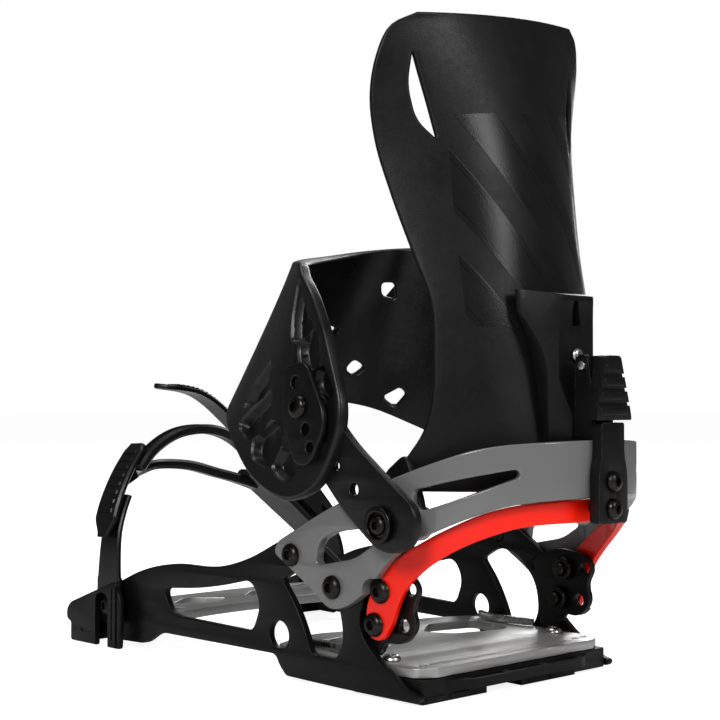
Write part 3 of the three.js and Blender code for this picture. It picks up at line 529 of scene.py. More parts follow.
def moulded(name, shade, roughness, grain, grain_height, sheen=0.35):
    """Black moulded plastic or rubber: fine grain, hazy patches, edges rubbed paler."""
    look = Finish(name, (shade, shade, shade * 1.04), roughness, Specular_IOR_Level=sheen)
    haze = look.noise(26, 4)
    look.rough(look.maths("ADD", look.spread(haze, roughness - 0.07, roughness + 0.08),
                          look.spread(look.noise(2.2, 2), -0.03, 0.03)))
    look.tint(look.spread(look.noise(9, 5), 0, 0.6, 0.45, 0.75), (shade * 2.2, shade * 2.05, shade * 1.95))
    look.worn(0.5, 3.5, 4, 0.1, 0.75, 0.35, 0.7, (shade * 3.4, shade * 3.4, shade * 3.5))
    look.bump(look.grains(grain), grain_height, 0.6)
    return look.bump(look.noise(14, 2), 0.12, 0.35)


def painted(name, colour, deep, coat=0.75):
    """Gloss paint over metal: clear coat, faint flow texture, thin dirt and chipped edges."""
    look = Finish(name, colour, 0.3, Coat_Weight=coat, Coat_Roughness=0.05, Specular_IOR_Level=0.3)
    look.rough(look.spread(look.noise(18, 4), 0.3, 0.42))
    look.tint(look.spread(look.noise(30, 5), 0, 0.35, 0.4, 0.8), deep)
    look.worn(0.45, 2.4, 5, 0, 0.8, 0.5, 0.66, tuple(0.5 * c + 0.22 for c in colour))
    return look.bump(look.noise(3.2, 2), 0.02, 0.4)


def anodised():
    look = Finish("anodised_black", (0.0028, 0.0028, 0.003), 0.36, Metallic=0.1, Specular_IOR_Level=0.25)
    look.rough(look.spread(look.noise(12, 5), 0.3, 0.47))
    look.tint(look.spread(look.noise(40, 3), 0, 0.5), (0.0055, 0.0053, 0.005))
    look.worn(0.4, 2.6, 5, 0.1, 0.9, 0.42, 0.66, (0.16, 0.155, 0.15))
    look.bump(look.noise(0.5, 2), 0.015, 0.5)
    return look.bump(look.noise(60, 5, (8, 1, 8)), 0.05, 0.25)


def brushed():
    """Raw plate with a fine brushed direction along X, stains and bright edges."""
    look = Finish("brushed_aluminium", (0.5, 0.5, 0.495), 0.36, Metallic=0.85)
    lines = look.noise(0.35, 3, (0.03, 1, 1))
    look.rough(look.maths("ADD", look.spread(look.noise(14, 5), 0.38, 0.55),
                          look.spread(lines, -0.08, 0.08)))
    look.tint(look.spread(lines, 0, 0.55, 0.35, 0.75), (0.36, 0.36, 0.36))
    look.tint(look.spread(look.noise(22, 6), 0, 0.5, 0.5, 0.75), (0.4, 0.39, 0.37))
    look.tint(look.edges(0.35), (0.82, 0.82, 0.81))
    scratch = look.spread(look.noise(5, 6, (0.16, 1.6, 1)), 0, 1, 0.62, 0.68)
    look.tint(scratch, (0.72, 0.72, 0.72))
    return look.bump(lines, 0.03, 0.5)


def metal(name, colour, roughness, dirt):
    look = Finish(name, colour, roughness, Metallic=1.0)
    look.rough(look.spread(look.noise(2.5, 5), roughness - 0.08, roughness + 0.14))
    look.tint(look.spread(look.noise(1.8, 4), 0, 0.7, 0.5, 0.8), dirt)
    look.tint(look.edges(0.3), tuple(min(1, 1.9 * c + 0.03) for c in colour))
    return look.bump(look.noise(0.4, 3), 0.01, 0.6)


def highback_plastic():
    """Satin grained plastic with gloss slanted bars, each with a fine line inside it."""
    look = moulded("highback_plastic", 0.0042, 0.42, 0.55, 0.035, 0.22)
    flat_place = look.node("ShaderNodeAttribute", attribute_name="flat").outputs["Vector"]
    split = look.node("ShaderNodeSeparateXYZ", {"Vector": flat_place})
    x, z = split.outputs["X"], split.outputs["Y"]

    def apart(source, middle):
        return look.maths("ABSOLUTE", look.maths("SUBTRACT", source, middle))
    slant = look.maths("ADD", look.maths("MULTIPLY", x, 0.83), look.maths("MULTIPLY", z, 0.56))
    phase = look.maths("PINGPONG", slant, 11)
    inside = look.maths("MULTIPLY", look.maths("LESS_THAN", apart(x, -1), 33),
                        look.maths("LESS_THAN", apart(z, 172), 40))
    bars = look.maths("MULTIPLY", look.spread(phase, 0, 1, 4.3, 4.6), inside)
    line = look.maths("MULTIPLY", look.spread(apart(phase, 6.4), 1, 0, 0.1, 0.25), inside)
    base = look.shader.inputs["Roughness"].links[0].from_socket
    gloss = look.node("ShaderNodeMix", {"Factor": bars, "A": base, "B": 0.24}).outputs["Result"]
    look.rough(gloss)
    look.tint(look.maths("MULTIPLY", bars, 0.8), (0.009, 0.009, 0.0095))
    look.tint(line, (0.003, 0.003, 0.003))
    return look.bump(bars, 0.05, 0.7)


LOOKS = {
    "anodised_black": anodised(),
    "aluminium": brushed(),
    "grey_paint": painted("grey_paint", (0.155, 0.157, 0.155), (0.13, 0.13, 0.127)),
    "red_paint": painted("red_paint", (1.0, 0.012, 0.0005), (0.9, 0.008, 0.0005), 0.2),
    "bolt_black": metal("bolt_black", (0.035, 0.033, 0.031), 0.3, (0.014, 0.013, 0.012)),
    "steel": metal("steel", (0.6, 0.6, 0.585), 0.24, (0.3, 0.29, 0.27)),
    "black_plastic": moulded("black_plastic", 0.0032, 0.4, 0.6, 0.03, 0.22),
    "strap_plastic": moulded("strap_plastic", 0.0028, 0.34, 0.8, 0.025, 0.3),
    "foam": moulded("pad_foam", 0.0032, 0.36, 0.9, 0.035, 0.36),
    "rubber": moulded("rubber", 0.003, 0.46, 0.7, 0.05, 0.2),
}
LOOKS = {slot: look.material for slot, look in LOOKS.items()}
HIGHBACK_LOOK = highback_plastic().material


# ---------------- fasteners
def button_bolt(head, dome, shank, length, lobes=6):
    """Button-head screw along +Z, seated at z = 0, with a six-lobed socket."""
    body = [(shank * 0.86, -length), (shank, 0.4 - length), (shank, 0), (head * 0.97, 0), (head, 0.2),
            (head * 0.97, 0.4 * dome), (head * 0.8, 0.78 * dome), (head * 0.58, 0.97 * dome),
            (head * 0.5, dome)]
    socket = [(-head * 0.43, dome), (-head * 0.4, dome - 0.3), (-head * 0.38, dome - 1.5)]
    return turned(body + socket, 48, lobes, 0.11)


def collar(outer, inner, thick):
    return flat(circle(0, 0, outer, 40), [circle(0, 0, inner, 30)], 0, thick, 0.35, 2)


FRAME_BOLT = (4.3, 2.4, 2.3)       # head radius, dome height and shank radius
SMALL_BOLT = (3.6, 2, 2)


def hoop_bolts(label, sign):
    for name, (y, z) in zip(("front", "rear"), HOOP_BOLTS):
        bolt = button_bolt(*FRAME_BOLT, GAP + HOOP_THICK + PLATE + 0.5)
        piece(f"hoop_bolt_{name}_{label}", on_side(sign, at(bolt, y, z, GAP * 1.5 + HOOP_THICK)))


def leg_bolts(label, sign):
    for name, (y, z) in zip(("upper", "lower"), LEG_BOLTS):
        bolt = button_bolt(*FRAME_BOLT, 12)
        piece(f"leg_bolt_{name}_{label}", on_side(sign, at(bolt, y, z, GAP / 2)))
        nut = at(collar(4.6, 2.7, 2.6), y, z, LEG_NUT_OUT)
        piece(f"leg_nut_{name}_{label}", on_side(sign, nut))


def strap_bolts(label, sign):
    """The pivot bolt in its cup, the nut inside the ear, and the toe strap's bolt."""
    seat = flat(circle(0, 0, 6.2), [], 0, 0.7, 0.1)
    bolt = joined(button_bolt(3.7, 2.6, 3, 20), collar(6.5, 4.6, 1.9), seat)
    bolt = at(bolt, *PIVOT, STRAP_INNER_X + STRAP_THICK + GAP)
    piece(f"strap_bolt_{label}", facing_out(sign, bolt))
    nut = at(collar(6.5, 3.3, 2.6), *PIVOT, STRAP_NUT_X)
    piece(f"strap_nut_{label}", facing_out(sign, nut))
    bolt = at(button_bolt(4, 1.8, 3, 6), *TOE_PIVOT, TOE_INNER_X + TOE_EYE_HALF + GAP)
    piece(f"toe_strap_bolt_{label}", facing_out(sign, bolt))


def side_fasteners():
    x, y = DECK_SCREW
    for label, sign in SIDES:
        hoop_bolts(label, sign)
        leg_bolts(label, sign)
        strap_bolts(label, sign)
        screw = at(button_bolt(*SMALL_BOLT, 8), sign * x, y, REAR_DECK_TOP + GAP / 2)
        piece(f"deck_screw_{label}", screw)


def rear_fasteners():
    back = Matrix.Rotation(math.pi / 2, 4, "X")
    for node, z, length in (("link_screw", LINK_SCREW_Z, 8), ("link_rivet", LINK_RIVET_Z, 11)):
        bolt = moved(button_bolt(*SMALL_BOLT, length), back)
        piece(node, at(bolt, 0, LINK_REAR_Y - GAP / 2, z))
    screw = moved(button_bolt(2.6, 1.4, 1.2, 1.5, 5), back)
    piece("lean_block_screw", at(screw, 0, -125.1, 121.5))


# ---------------- chassis
def side_plates():
    shape = rounded([
        (95, 2, 3), (95, 20, 6), (77, 27, 12), (60, 34, 16), (39, 38.5, 16), (11, 38.5, 18),
        (-9, 43.5, 14), (-27, 52, 6), (-36, 55, 6), (-48, 53, 8), (-66, 42, 6), (-72.5, 34, 3),
        (-69.5, 27, 6), (-72, 20, 8), (-80, 13, 8), (-93, 5, 4), (-99.5, 3.4, 2), (-98.5, 1, 2),
        (-60, 1, 2), (-31, 1.6, 1.5), (-27.5, 5, 1.5), (-25, 9, 3), (47, 9, 5), (57, 3, 4)])
    window = rounded([(45, 27.5, 5), (16, 30, 14), (-11, 36, 5), (-16.5, 27, 5), (-12, 16, 4), (39, 17, 5)])
    opening = rounded([(-29, 37.5, 2), (-39, 43, 5), (-50, 41, 5), (-60.5, 30, 7), (-62, 18, 6),
                       (-58, 11, 3), (-45, 11, 3), (-42.5, 18, 6), (-37, 28, 8)])
    holes = [window, opening, circle(-27.2, 16.5, 5.4), circle(*TOE_PIVOT, 3.7)]
    holes += [circle(y, z, 2.7) for y, z in HOOP_BOLTS]
    for label, sign in SIDES:
        piece(f"side_plate_{label}", on_side(sign, flat(shape, holes, -PLATE, 0, 0.45, 2)))


def inner_brackets():
    shape = rounded([(-63, 41, 3), (-76, 46, 5), (-91, 44.5, 7), (-95.5, 39, 5), (-91.5, 32.5, 4),
                     (-94, 26, 5), (-88, 19, 5), (-79, 20, 4), (-76, 13.5, 4), (-66.5, 13.5, 3),
                     (-66, 27, 6)])
    holes = [circle(y, z, 2.7) for y, z in LEG_BOLTS] + [circle(-91, 39, 2.4), circle(-87.7, 26, 2.4)]
    for label, sign in SIDES:
        plate = flat(shape, holes, -7.3, -PLATE - GAP, 0.5, 2)
        relief = block((-110, 23, -4.9), (-83, 60, -3), 0)
        piece(f"inner_bracket_{label}", on_side(sign, boolean(plate, [relief])))


def toe_blocks():
    side = [(67, 0, 1.5), (66, 20, 3), (71, 28.5, 3), (88, 22.5, 8), (104.5, 16.5, 3),
            (107, 13, 2), (106.5, 9, 1.5), (103.5, 8, 1), (103.5, 0, 1.5)]
    notch = rounded([(75.4, -3, 0), (75.4, 23, 4.5), (84.6, 23, 4.5), (84.6, -3, 0)])
    for label, sign in SIDES:
        cheek = boolean(flat(rounded(side), [], 3.9, 6.4, 0.7, 2), [
            flat(notch, [], 3, 7, 0.1),
            block((68.4, -2, 5.6), (70, 34, 7), 0.2), block((72, 3, 6), (73, 25, 7), 0.2),
            block((88, 5, 6), (101, 6, 7), 0.2)])
        nose = flat(rounded(side), [], -9, 6.4, 0.7, 2)
        nose = boolean(nose, [block((60, -2, -12), (95.4, 40, 12), 0)])
        slots = [block((98, 11, 5.9), (110, 12, 8), 0.2), block((98, 3, -6), (109, 6, 3), 0.5)]
        nose = boolean(nose, slots)
        piece(f"toe_block_{label}", on_side(sign, boolean(cheek, [nose], "UNION")))


def deck_edge(y):
    """Half width of a deck at y, clear of the side plates."""
    return half_width(y) - PLATE - GAP - 0.1


def rear_deck():
    rear, front, top, thick = -97.5, -22, REAR_DECK_TOP, 3.5
    half = [(deck_edge(rear) - 7, rear, 1), (deck_edge(rear), rear + 4, 3), (deck_edge(front), front, 4),
            (30, front + 10, 12), (11, front + 4, 8)]
    shape = rounded(half + [(-x, y, r) for x, y, r in half[::-1]])
    screw_x, screw_y = DECK_SCREW
    window = ((8, -39, 3), (14, -50, 3), (38, -57, 4), (45, -51, 4), (45, -31, 3), (24, -26, 4))
    holes = []
    for sign in (-1, 1):
        holes.append(circle(sign * screw_x, screw_y, 2.4))
        holes.append(rounded([(sign * x, y, radius) for x, y, radius in window]))
        holes += [circle(sign * x, -90.5, 1.1, 18) for x in (41, 46)]
    plate = flat(shape, holes, top - thick, top, 0.35, 2)
    score = block((-36, -93.4, top - 0.25), (36, -92.9, top + 1), 0)
    piece("rear_deck", boolean(plate, [score]))


def front_deck():
    rear, front, top, thick = 50, 94, FRONT_DECK_TOP, 4
    shape = rounded([(deck_edge(rear), rear, 2), (deck_edge(front), front, 2), (20, front + 2, 10),
                     (-20, front + 2, 10), (-deck_edge(front), front, 2), (-deck_edge(rear), rear, 2),
                     (-26, rear + 7, 12), (26, rear + 7, 12)])
    holes = [rounded([(x - 15, 75, 2), (x, 64, 7), (x + 15, 75, 2), (x, 88, 7)]) for x in (-20, 20)]
    for sign in (-1, 1):
        holes.append(rounded([(sign * 37, 61, 2), (sign * 51, 59, 2), (sign * 49, 68, 3)]))
        holes.append(rounded([(sign * 39, 88, 2), (sign * 50, 80, 3), (sign * 54, 88, 2)]))
    piece("front_deck", flat(shape, holes, top - thick, top, 0.4, 2))


def heel_bumper():
    base = cad("heel_bumper", 0.45)
    pads = [block((x - 5, -97.9, 0.6), (x + 5, -97.2, 2.4), 0.25) for x in (-44, -32, 10, 22)]
    piece("heel_bumper", joined(base, *pads))


def latch_jaws():
    """Curved bars that lie on the rear deck against the side plates."""
    outer_arc = bend((-30, -3.5), (-42, -10.5), (-60, -3.5), 24)
    inner_arc = bend((-29, -5.5), (-42, -13.5), (-61, -5.5), 24)
    low = REAR_DECK_TOP + GAP
    for label, sign in SIDES:
        bar = flat(outer_arc + inner_arc[::-1], [], low, low + 3, 0.5, 3)
        place = side_frame(sign)
        piece(f"latch_jaw_{label}", wrapped(bar, lambda y, out, z: place(y, z, out)))


# ---------------- hoops
ARC = half_width(HOOP_CENTRE_Y)          # radius of the hoop path where its outboard distance is 0
ARM_START = ARC * math.pi / 2            # distance along the path from the back to the straight arm


def along_hoop(y):
    """Distance along the hoop path from the middle of the back to a point at this y."""
    if y >= HOOP_CENTRE_Y:
        return ARM_START + (y - HOOP_CENTRE_Y)
    return ARC * math.acos(min(1, (HOOP_CENTRE_Y - y) / (ARC + 3)))


def on_hoop(s, z, out):
    """Place at a distance s along the hoop path, at height z and this far outboard of it."""
    sign = -1 if s < 0 else 1
    if abs(s) < ARM_START:
        turn = s / ARC
        return (ARC + out) * math.sin(turn), HOOP_CENTRE_Y - (ARC + out) * math.cos(turn), z
    y = HOOP_CENTRE_Y + abs(s) - ARM_START
    return sign * (ARC + FLARE * (y - HOOP_CENTRE_Y) + out), y, z


def unrolled(loop):
    """Side view outline in (y, z) as an outline in (distance along the hoop path, z)."""
    return [(along_hoop(y), z) for y, z in densified(loop, 1.5)]


def hoop(node, side_view, slots, low, high, rear_hole, bites=()):
    """Band bent round the heel: side_view runs in (y, z) and ends past the middle of the back."""
    half = [p for p in unrolled(rounded(side_view)) if p[0] > 0.6]
    opened = max(range(len(half)), key=lambda i: math.dist(half[i], half[i - 1]))
    half = half[opened:] + half[:opened]
    both = half + [(-s, z) for s, z in half[::-1]]
    holes = [circle(0, rear_hole, 2.4, 20)]
    for slot in slots:
        right = unrolled(slot)
        holes += [right, [(-s, z) for s, z in right]]
    band = flat(both, holes, low, high, 0.55, 3)
    tools = [at(turned([(4.9, low - 1), (4.9, high + 1)]), side * along_hoop(y), z, 0)
             for y, z in bites for side in (-1, 1)]
    band = boolean(band, tools) if tools else band
    cuts = [k * 2.4 for k in range(-36, 37)] + [ARM_START, -ARM_START]
    piece(node, wrapped(sliced(band, 0, cuts), on_hoop), 40)


def heel_hoop():
    side_view = [(-29, 48, 4), (-31, 52.5, 3), (-60, 67, 10), (-88, 77.5, 30), (-103, 83.5, 20),
                 (-118, 89.5, 20), (-140, 92, 1), (-140, 72, 1), (-124, 70, 20), (-110, 63, 16),
                 (-92, 54, 10), (-77, 37, 8), (-67, 31, 4), (-59, 29.5, 5), (-50, 36, 6), (-36, 44, 4)]
    eye = rounded([(-52, 45, 3.5), (-53.5, 54, 4), (-62, 58, 3), (-76, 60, 3), (-82, 55, 3), (-72, 49, 4)])
    slot = rounded([(-97.3, 74.3, 2), (-110.5, 78, 10), (-119.4, 80.3, 10), (-125.2, 81.8, 1.5),
                    (-125.6, 79, 1.5), (-119.4, 75.5, 10), (-110.5, 71.2, 10), (-100.3, 67.3, 2),
                    (-97.3, 69, 2)])
    bolts = [circle(y, z, 2.7, 24) for y, z in HOOP_BOLTS] + [circle(*PIVOT, 3.7)]
    hoop("heel_hoop", side_view, [eye, slot, *bolts], GAP, GAP + HOOP_THICK, LINK_SCREW_Z, LEG_BOLTS)


def lower_hoop():
    side_view = [(-73.2, 29, 4), (-74.5, 35, 4), (-79, 42, 5), (-90, 51.2, 12), (-108, 61.5, 14),
                 (-122, 68.5, 16), (-140, 71.5, 1), (-140, 62.5, 1), (-128, 62.5, 14), (-112, 55, 14),
                 (-99, 46.5, 10), (-90.5, 38, 8), (-86.5, 27, 5), (-82, 20.5, 3), (-75, 20.5, 4)]
    bolts = [circle(y, z, 2.7, 24) for y, z in LEG_BOLTS]
    hoop("lower_hoop", side_view, bolts, -PLATE, 0, LINK_RIVET_Z)


def rear_parts():
    piece("hoop_link", cad("hoop_link", 0.55, 30, 3))
    lever = cad("lean_lever", 0.5, 30, 3)
    pads = [block((-w, LINK_REAR_Y - 0.75, z), (w, LINK_REAR_Y + 0.3, z + 2.4), 0.3)
            for w, z in ((7.6, 100.2), (6.6, 105.4), (5.2, 110.4), (3.9, 115.4))]
    piece("lean_lever", joined(lever, *pads))
    piece("lean_lever_pin", cad("lean_lever_pin", 0.2))


# ---------------- highback
HIGHBACK_LOW, HIGHBACK_HIGH = 73, 250
HIGHBACK_EDGE = spline([
    (51.2, -80, 73), (49.8, -87.5, 84), (46.6, -93.5, 94), (44.6, -96, 105), (43.8, -96.3, 122),
    (43.8, -95, 142), (46.8, -88.5, 162), (51.2, -82, 185), (55, -78, 204), (57.4, -78, 221),
    (56.4, -80.5, 235), (52, -83.5, 245.5), (43, -88, 250)])
HIGHBACK_SPINE = spline([(-121, 73), (-119.5, 90), (-116, 112), (-112.5, 142), (-109, 172),
                         (-104.5, 202), (-99, 230), (-94.5, 250)])
EDGE_POINTS = np.array([HIGHBACK_EDGE(k / 300) for k in range(301)])
HIGHBACK_TILT = 0.11


def on_highback(x, z, out):
    """(x, z) on the shell before its top is tilted, and the distance in front of its rear face."""
    half, edge_y = (np.interp(z, EDGE_POINTS[:, 2], EDGE_POINTS[:, j]) for j in (0, 1))
    spine_y = HIGHBACK_SPINE((z - HIGHBACK_LOW) / (HIGHBACK_HIGH - HIGHBACK_LOW))[0]
    side, bulge = x / half, edge_y - spine_y
    length = math.hypot(2 * side * bulge, half)
    return (x - out * 2 * side * bulge / length, spine_y + bulge * side * side + out * half / length,
            z + HIGHBACK_TILT * x * smooth(z, 110, 190))


def highback():
    right = [(half, z) for half, _, z in EDGE_POINTS[::4]]
    leaves = (
        ((-44.6, 231, 1.5), (-40.3, 213, 14), (-37.6, 199.5, 1.5), (-43.5, 206, 8), (-46.3, 219, 10)),
        ((40.5, 234, 1.5), (31.5, 215, 14), (32.5, 201.5, 1.5), (41.5, 208, 8), (44, 221, 10)))
    slots = [rounded([(x, z - HIGHBACK_TILT * x, radius) for x, z, radius in leaf], 12) for leaf in leaves]
    shell = flat(right + [(-x, z) for x, z in right[::-1]], slots, 0, 3, 0.9, 3)
    shell = sliced(sliced(shell, 0, range(-56, 58, 3)), 1, range(76, 250, 4))
    shell = wrapped(shell, on_highback)
    ear = rounded([(-98, 57.5, 5), (-84, 56, 6), (-80, 66, 6), (-77.5, 79, 4), (-89, 87, 4),
                   (-97, 70, 6)], 12)
    ears = [facing_out(sign, flat(ear, [circle(*PIVOT, 3.3)], EAR_INNER_X, EAR_OUTER_X, 0.8, 3))
            for _, sign in SIDES]
    piece("highback", joined(shell, *ears), 40, HIGHBACK_LOOK)
    piece("lean_block", cad("lean_block", 0.7, 25, 3))


# ---------------- ankle strap
PAD_LOW = spline([(-69, -57, 71.5), (-69, -42, 69), (-68, -24, 75.5), (-63, -6, 87), (-53, 13, 98),
                  (-35, 31, 105), (-8, 42, 108), (20, 42, 107.5), (42, 30, 103), (56, 11, 94),
                  (62, -12, 85), (64, -32, 79)])
PAD_HIGH = spline([(-63, -60, 158), (-59, -46, 158), (-51, -29, 159), (-38, -12, 161.5), (-20, 4, 165),
                   (4, 15, 169), (28, 19, 173), (46, 14, 175), (57, 1, 174.5), (62, -16, 171),
                   (63.5, -32, 166)])
PAD_LENGTH, PAD_HEIGHT, PAD_THICK = 235, 85, 5
MOUNT_BOLT = (-54, 103)
MOUNT_OUT = 70.6
MOUNT_LEAN = 0.09


def on_pad(x, y, out):
    """(x, y) on the pad laid flat, and the distance out of its outer face."""
    u, v = x / PAD_LENGTH, y / PAD_HEIGHT
    low, high = PAD_LOW(u), PAD_HIGH(u)
    ahead, behind = min(1, u + 0.004), max(0, u - 0.004)
    along = [(curve(ahead) - curve(behind)) / curve.length for curve in (PAD_LOW, PAD_HIGH)]
    up = high - low
    normal = np.cross(up, along[0] + along[1])
    point = low + up * v + normal / np.linalg.norm(normal) * out
    point[1] -= 15 * math.sin(math.pi * max(0, v) ** 0.75) * smooth(0.12 - u, 0, 0.12)
    return point


def pad_outline(corners):
    return rounded([(u * PAD_LENGTH, v * PAD_HEIGHT, 2.6) for u, v in corners])


def pocket(loop, depth):
    """Tool that sinks an outline into a face at z = 0, with a rolled lip and sloped walls."""
    draft = 0.9
    return stacked([(inset(loop, amount), z) for amount, z in (
        (-draft * 1.5, 0.8), (-draft * 0.9, -0.05), (-draft * 0.35, -0.5), (0, -1.1),
        (draft * 0.5, 0.4 - depth), (draft, -depth))])


PAD_POCKETS = (
    ((.107, .91), (.103, .76), (.093, .65), (.080, .67), (.070, .74)),
    ((.067, .75), (.077, .62), (.067, .53), (.047, .56), (.053, .68)),
    ((.043, .55), (.050, .48), (.033, .40), (.023, .43)),
    ((.160, .51), (.217, .32), (.230, .20), (.157, .37)),
    ((.130, .40), (.193, .22), (.223, .11), (.180, .12), (.130, .25)),
    ((.103, .29), (.153, .16), (.147, .09), (.100, .11), (.090, .23)),
    ((.083, .20), (.090, .11), (.060, .08), (.057, .14)))
PAD_OPENINGS = (
    ((.707, .79), (.740, .79), (.747, .69), (.713, .71)),
    ((.557, .56), (.627, .48), (.610, .44), (.587, .45)),
    ((.663, .22), (.677, .29), (.703, .25), (.683, .18)),
    ((.747, .09), (.780, .18), (.793, .16), (.773, .06)))
ARM_POCKET = ((-76, 58, 1), (-60, 71, 8), (-43, 88, 4), (-43, 113, 4), (-62, 113, 4), (-82, 92, 4))


def ankle_pad():
    corners = rounded([(0, 0, 7), (PAD_LENGTH, 0, 12), (PAD_LENGTH, PAD_HEIGHT, 12), (33, PAD_HEIGHT, 4),
                       (15, 0.88 * PAD_HEIGHT, 14), (9, 0.74 * PAD_HEIGHT, 10), (5, 0.52 * PAD_HEIGHT, 10),
                       (1.5, 0.39 * PAD_HEIGHT, 8), (0, 0.28 * PAD_HEIGHT, 8)])
    slab = flat(densified(corners, 6), [pad_outline(hole) for hole in PAD_OPENINGS], -PAD_THICK, 0, 1.4, 4)
    slab = boolean(slab, [pocket(inset(pad_outline(corner), -0.9), 4.1) for corner in PAD_POCKETS])
    slab = sliced(sliced(slab, 0, np.arange(3, PAD_LENGTH, 3)), 1, np.arange(5, PAD_HEIGHT, 5))
    shell = wrapped(slab, on_pad)
    seat = facing_out(-1, stacked([(rounded(ARM_POCKET), 55), (rounded(ARM_POCKET), 64.8)]))
    hole = facing_out(-1, at(turned([(3.2, 50), (3.2, 90)]), *MOUNT_BOLT, 0))
    obj = piece("ankle_pad", boolean(shell, [seat, hole]), 50)


def leaned(mesh):
    """From (y, z, distance to the left) to the row frame, leaning inwards as the pad does there."""
    pivot = Matrix.Translation((-MOUNT_OUT, 0, MOUNT_BOLT[1]))
    return moved(facing_out(-1, mesh), pivot @ Matrix.Rotation(MOUNT_LEAN, 4, "Y") @ pivot.inverted())


def ankle_mount():
    """The arm from the pivot, the plate on the pad's outer face, and the bolt through both."""
    shape = rounded([(-109, 68, 8), (-106, 55, 9), (-91, 52, 8), (-70, 67, 10), (-47, 91, 8), (-47, 109, 6),
                     (-59, 109, 6), (-74, 92, 10), (-94, 78, 10)], 12)
    holes = [circle(*PIVOT, 3.3), circle(*MOUNT_BOLT, 3.2), circle(-77, 74, 2.2), circle(-67.5, 82, 1.8)]
    arm = flat(shape, holes, STRAP_INNER_X, STRAP_INNER_X + STRAP_THICK, 0.8, 3)
    boss = at(collar(7.5, 3.3, 2.4), *PIVOT, STRAP_INNER_X - 1.4)
    piece("ankle_strap_arm", facing_out(-1, joined(arm, boss)))
    shape = rounded([(-44, 118, 4), (-56, 120, 5), (-70, 98, 8), (-62, 82, 5), (-54, 82, 6),
                     (-45, 98, 8)], 12)
    holes = [circle(*MOUNT_BOLT, 3.2), circle(-51, 112, 2.2), circle(-58.5, 95, 2.2),
             circle(-61.5, 88.5, 2)]
    piece("ankle_mount_plate", leaned(flat(shape, holes, MOUNT_OUT - 2.4, MOUNT_OUT, 0.7, 3)))
    bolt = at(button_bolt(4.4, 2.2, 2.4, 9), *MOUNT_BOLT, MOUNT_OUT + GAP / 2)
    piece("ankle_mount_bolt", leaned(bolt))


LADDER_THICK = 2.2
ANKLE_BUCKLE = {"origin": (64.2, 6.6, 131), "along": (-0.212, 0.671, 0.71), "outward": (0.953, 0.302, 0)}
TOE_BUCKLE = {"origin": (47, 86.2, 52), "along": (-0.77, 0, 0.64), "outward": (0.64, 0, 0.77)}


def on_buckle(buckle, forward, out):
    """Place on a buckle, this far forward of its origin and this far out."""
    along = unit(buckle["along"])
    outward = np.array(buckle["outward"], float)
    outward = unit(outward - along * outward.dot(along))
    return tuple(np.array(buckle["origin"]) + along * forward + outward * out)


def teeth(curve, facing, start, end, count, width):
    """Ramped ladder teeth on a strap's outer face, a little lower at their ends."""
    height = 0.75
    ramp = [(-1.1, -0.3), (-1.1, 0.1), (0.5, height), (0.95, height), (1.1, height - 0.2), (1.1, -0.3)]
    made = []
    for k in range(count):
        u = start + (end - start) * k / (count - 1)
        point, along, out, across = strap_frame(curve, facing, u)
        loops = []
        for side, top in ((-1, 0.6), (-0.95, height), (0.95, height), (1, 0.6)):
            base = point + out * LADDER_THICK / 2 + across * side * width / 2
            loops.append([tuple(base + along * a + out * min(b, top)) for a, b in ramp])
        made.append(loft(loops))
    return made


def side_eye(outline, hole, low, high, sign):
    """Strap end beside a plate, with a round hole."""
    return facing_out(sign, flat(rounded(outline, 12), [circle(*hole)], low, high, 0.6, 3))


def ankle_facing(point):
    turn = smooth(point[1], -54, -1.5)
    return np.array((1, 0, 0)) * (1 - turn) + np.array(ANKLE_BUCKLE["outward"]) * turn


def ankle_ladder():
    through = [on_buckle(ANKLE_BUCKLE, *place) for place in ((-15, 3.3), (0, 3.3), (15, 3.3), (38, 4))]
    curve = spline([(62.9, -76, 74), (64.5, -62, 86), (68, -42, 99), (71, -24, 109), *through])

    def section(u):
        return strip_section(15 - 5 * smooth(u, 0.9, 1), LADDER_THICK, 0.6)
    strap = swept(curve, ankle_facing, section, 60)
    plate = side_eye([(-101, 66, 7), (-98, 54, 8), (-86, 53, 7), (-70, 66, 8), (-64, 78, 6), (-74, 86, 6),
                      (-92, 76, 8)], (*PIVOT, 3.3), STRAP_INNER_X, STRAP_INNER_X + STRAP_THICK, 1)
    boss = facing_out(1, at(collar(7.5, 3.3, 2.4), *PIVOT, STRAP_INNER_X - 1.4))
    piece("ankle_ladder", joined(strap, plate, boss, *teeth(curve, ankle_facing, 0.42, 0.93, 26, 11)))


def buckles():
    for strap in ("ankle", "toe"):
        for part, edge in (("base", (0.45, 30, 3)), ("lever", (0.7, 25, 3)), ("pin", (0.25,))):
            node = f"{strap}_buckle_{part}"
            piece(node, cad(node, *edge))


# ---------------- toe strap
def toe_facing(point):
    return point[0], 0, point[2] - 34


def toe_eye(sign, top_half):
    y, z = TOE_PIVOT
    outline = [(y - 9, 9, 7), (y + 9, 9, 7), (y + top_half, 30, 2), (y - top_half, 30, 2)]
    return side_eye(outline, (y, z, 3.7), TOE_INNER_X - TOE_EYE_HALF, TOE_INNER_X + TOE_EYE_HALF, sign)


def toe_adjust_strap():
    curve = spline([(-TOE_INNER_X, 80, 24), (-TOE_INNER_X, 80, 34), (-63.4, 80.5, 48), (-60.4, 81, 57),
                    (-57, 81.5, 64)])
    strap = swept(curve, toe_facing, lambda u: strip_section(17 - 6 * u, 2.2, 0.6), 40)
    holes = [facing_out(-1, at(turned([(1.8, 50), (1.8, 80)]), 80.5, z, 0)) for z in (38, 47)]
    piece("toe_adjust_strap", joined(boolean(strap, holes), toe_eye(-1, 8.6)))


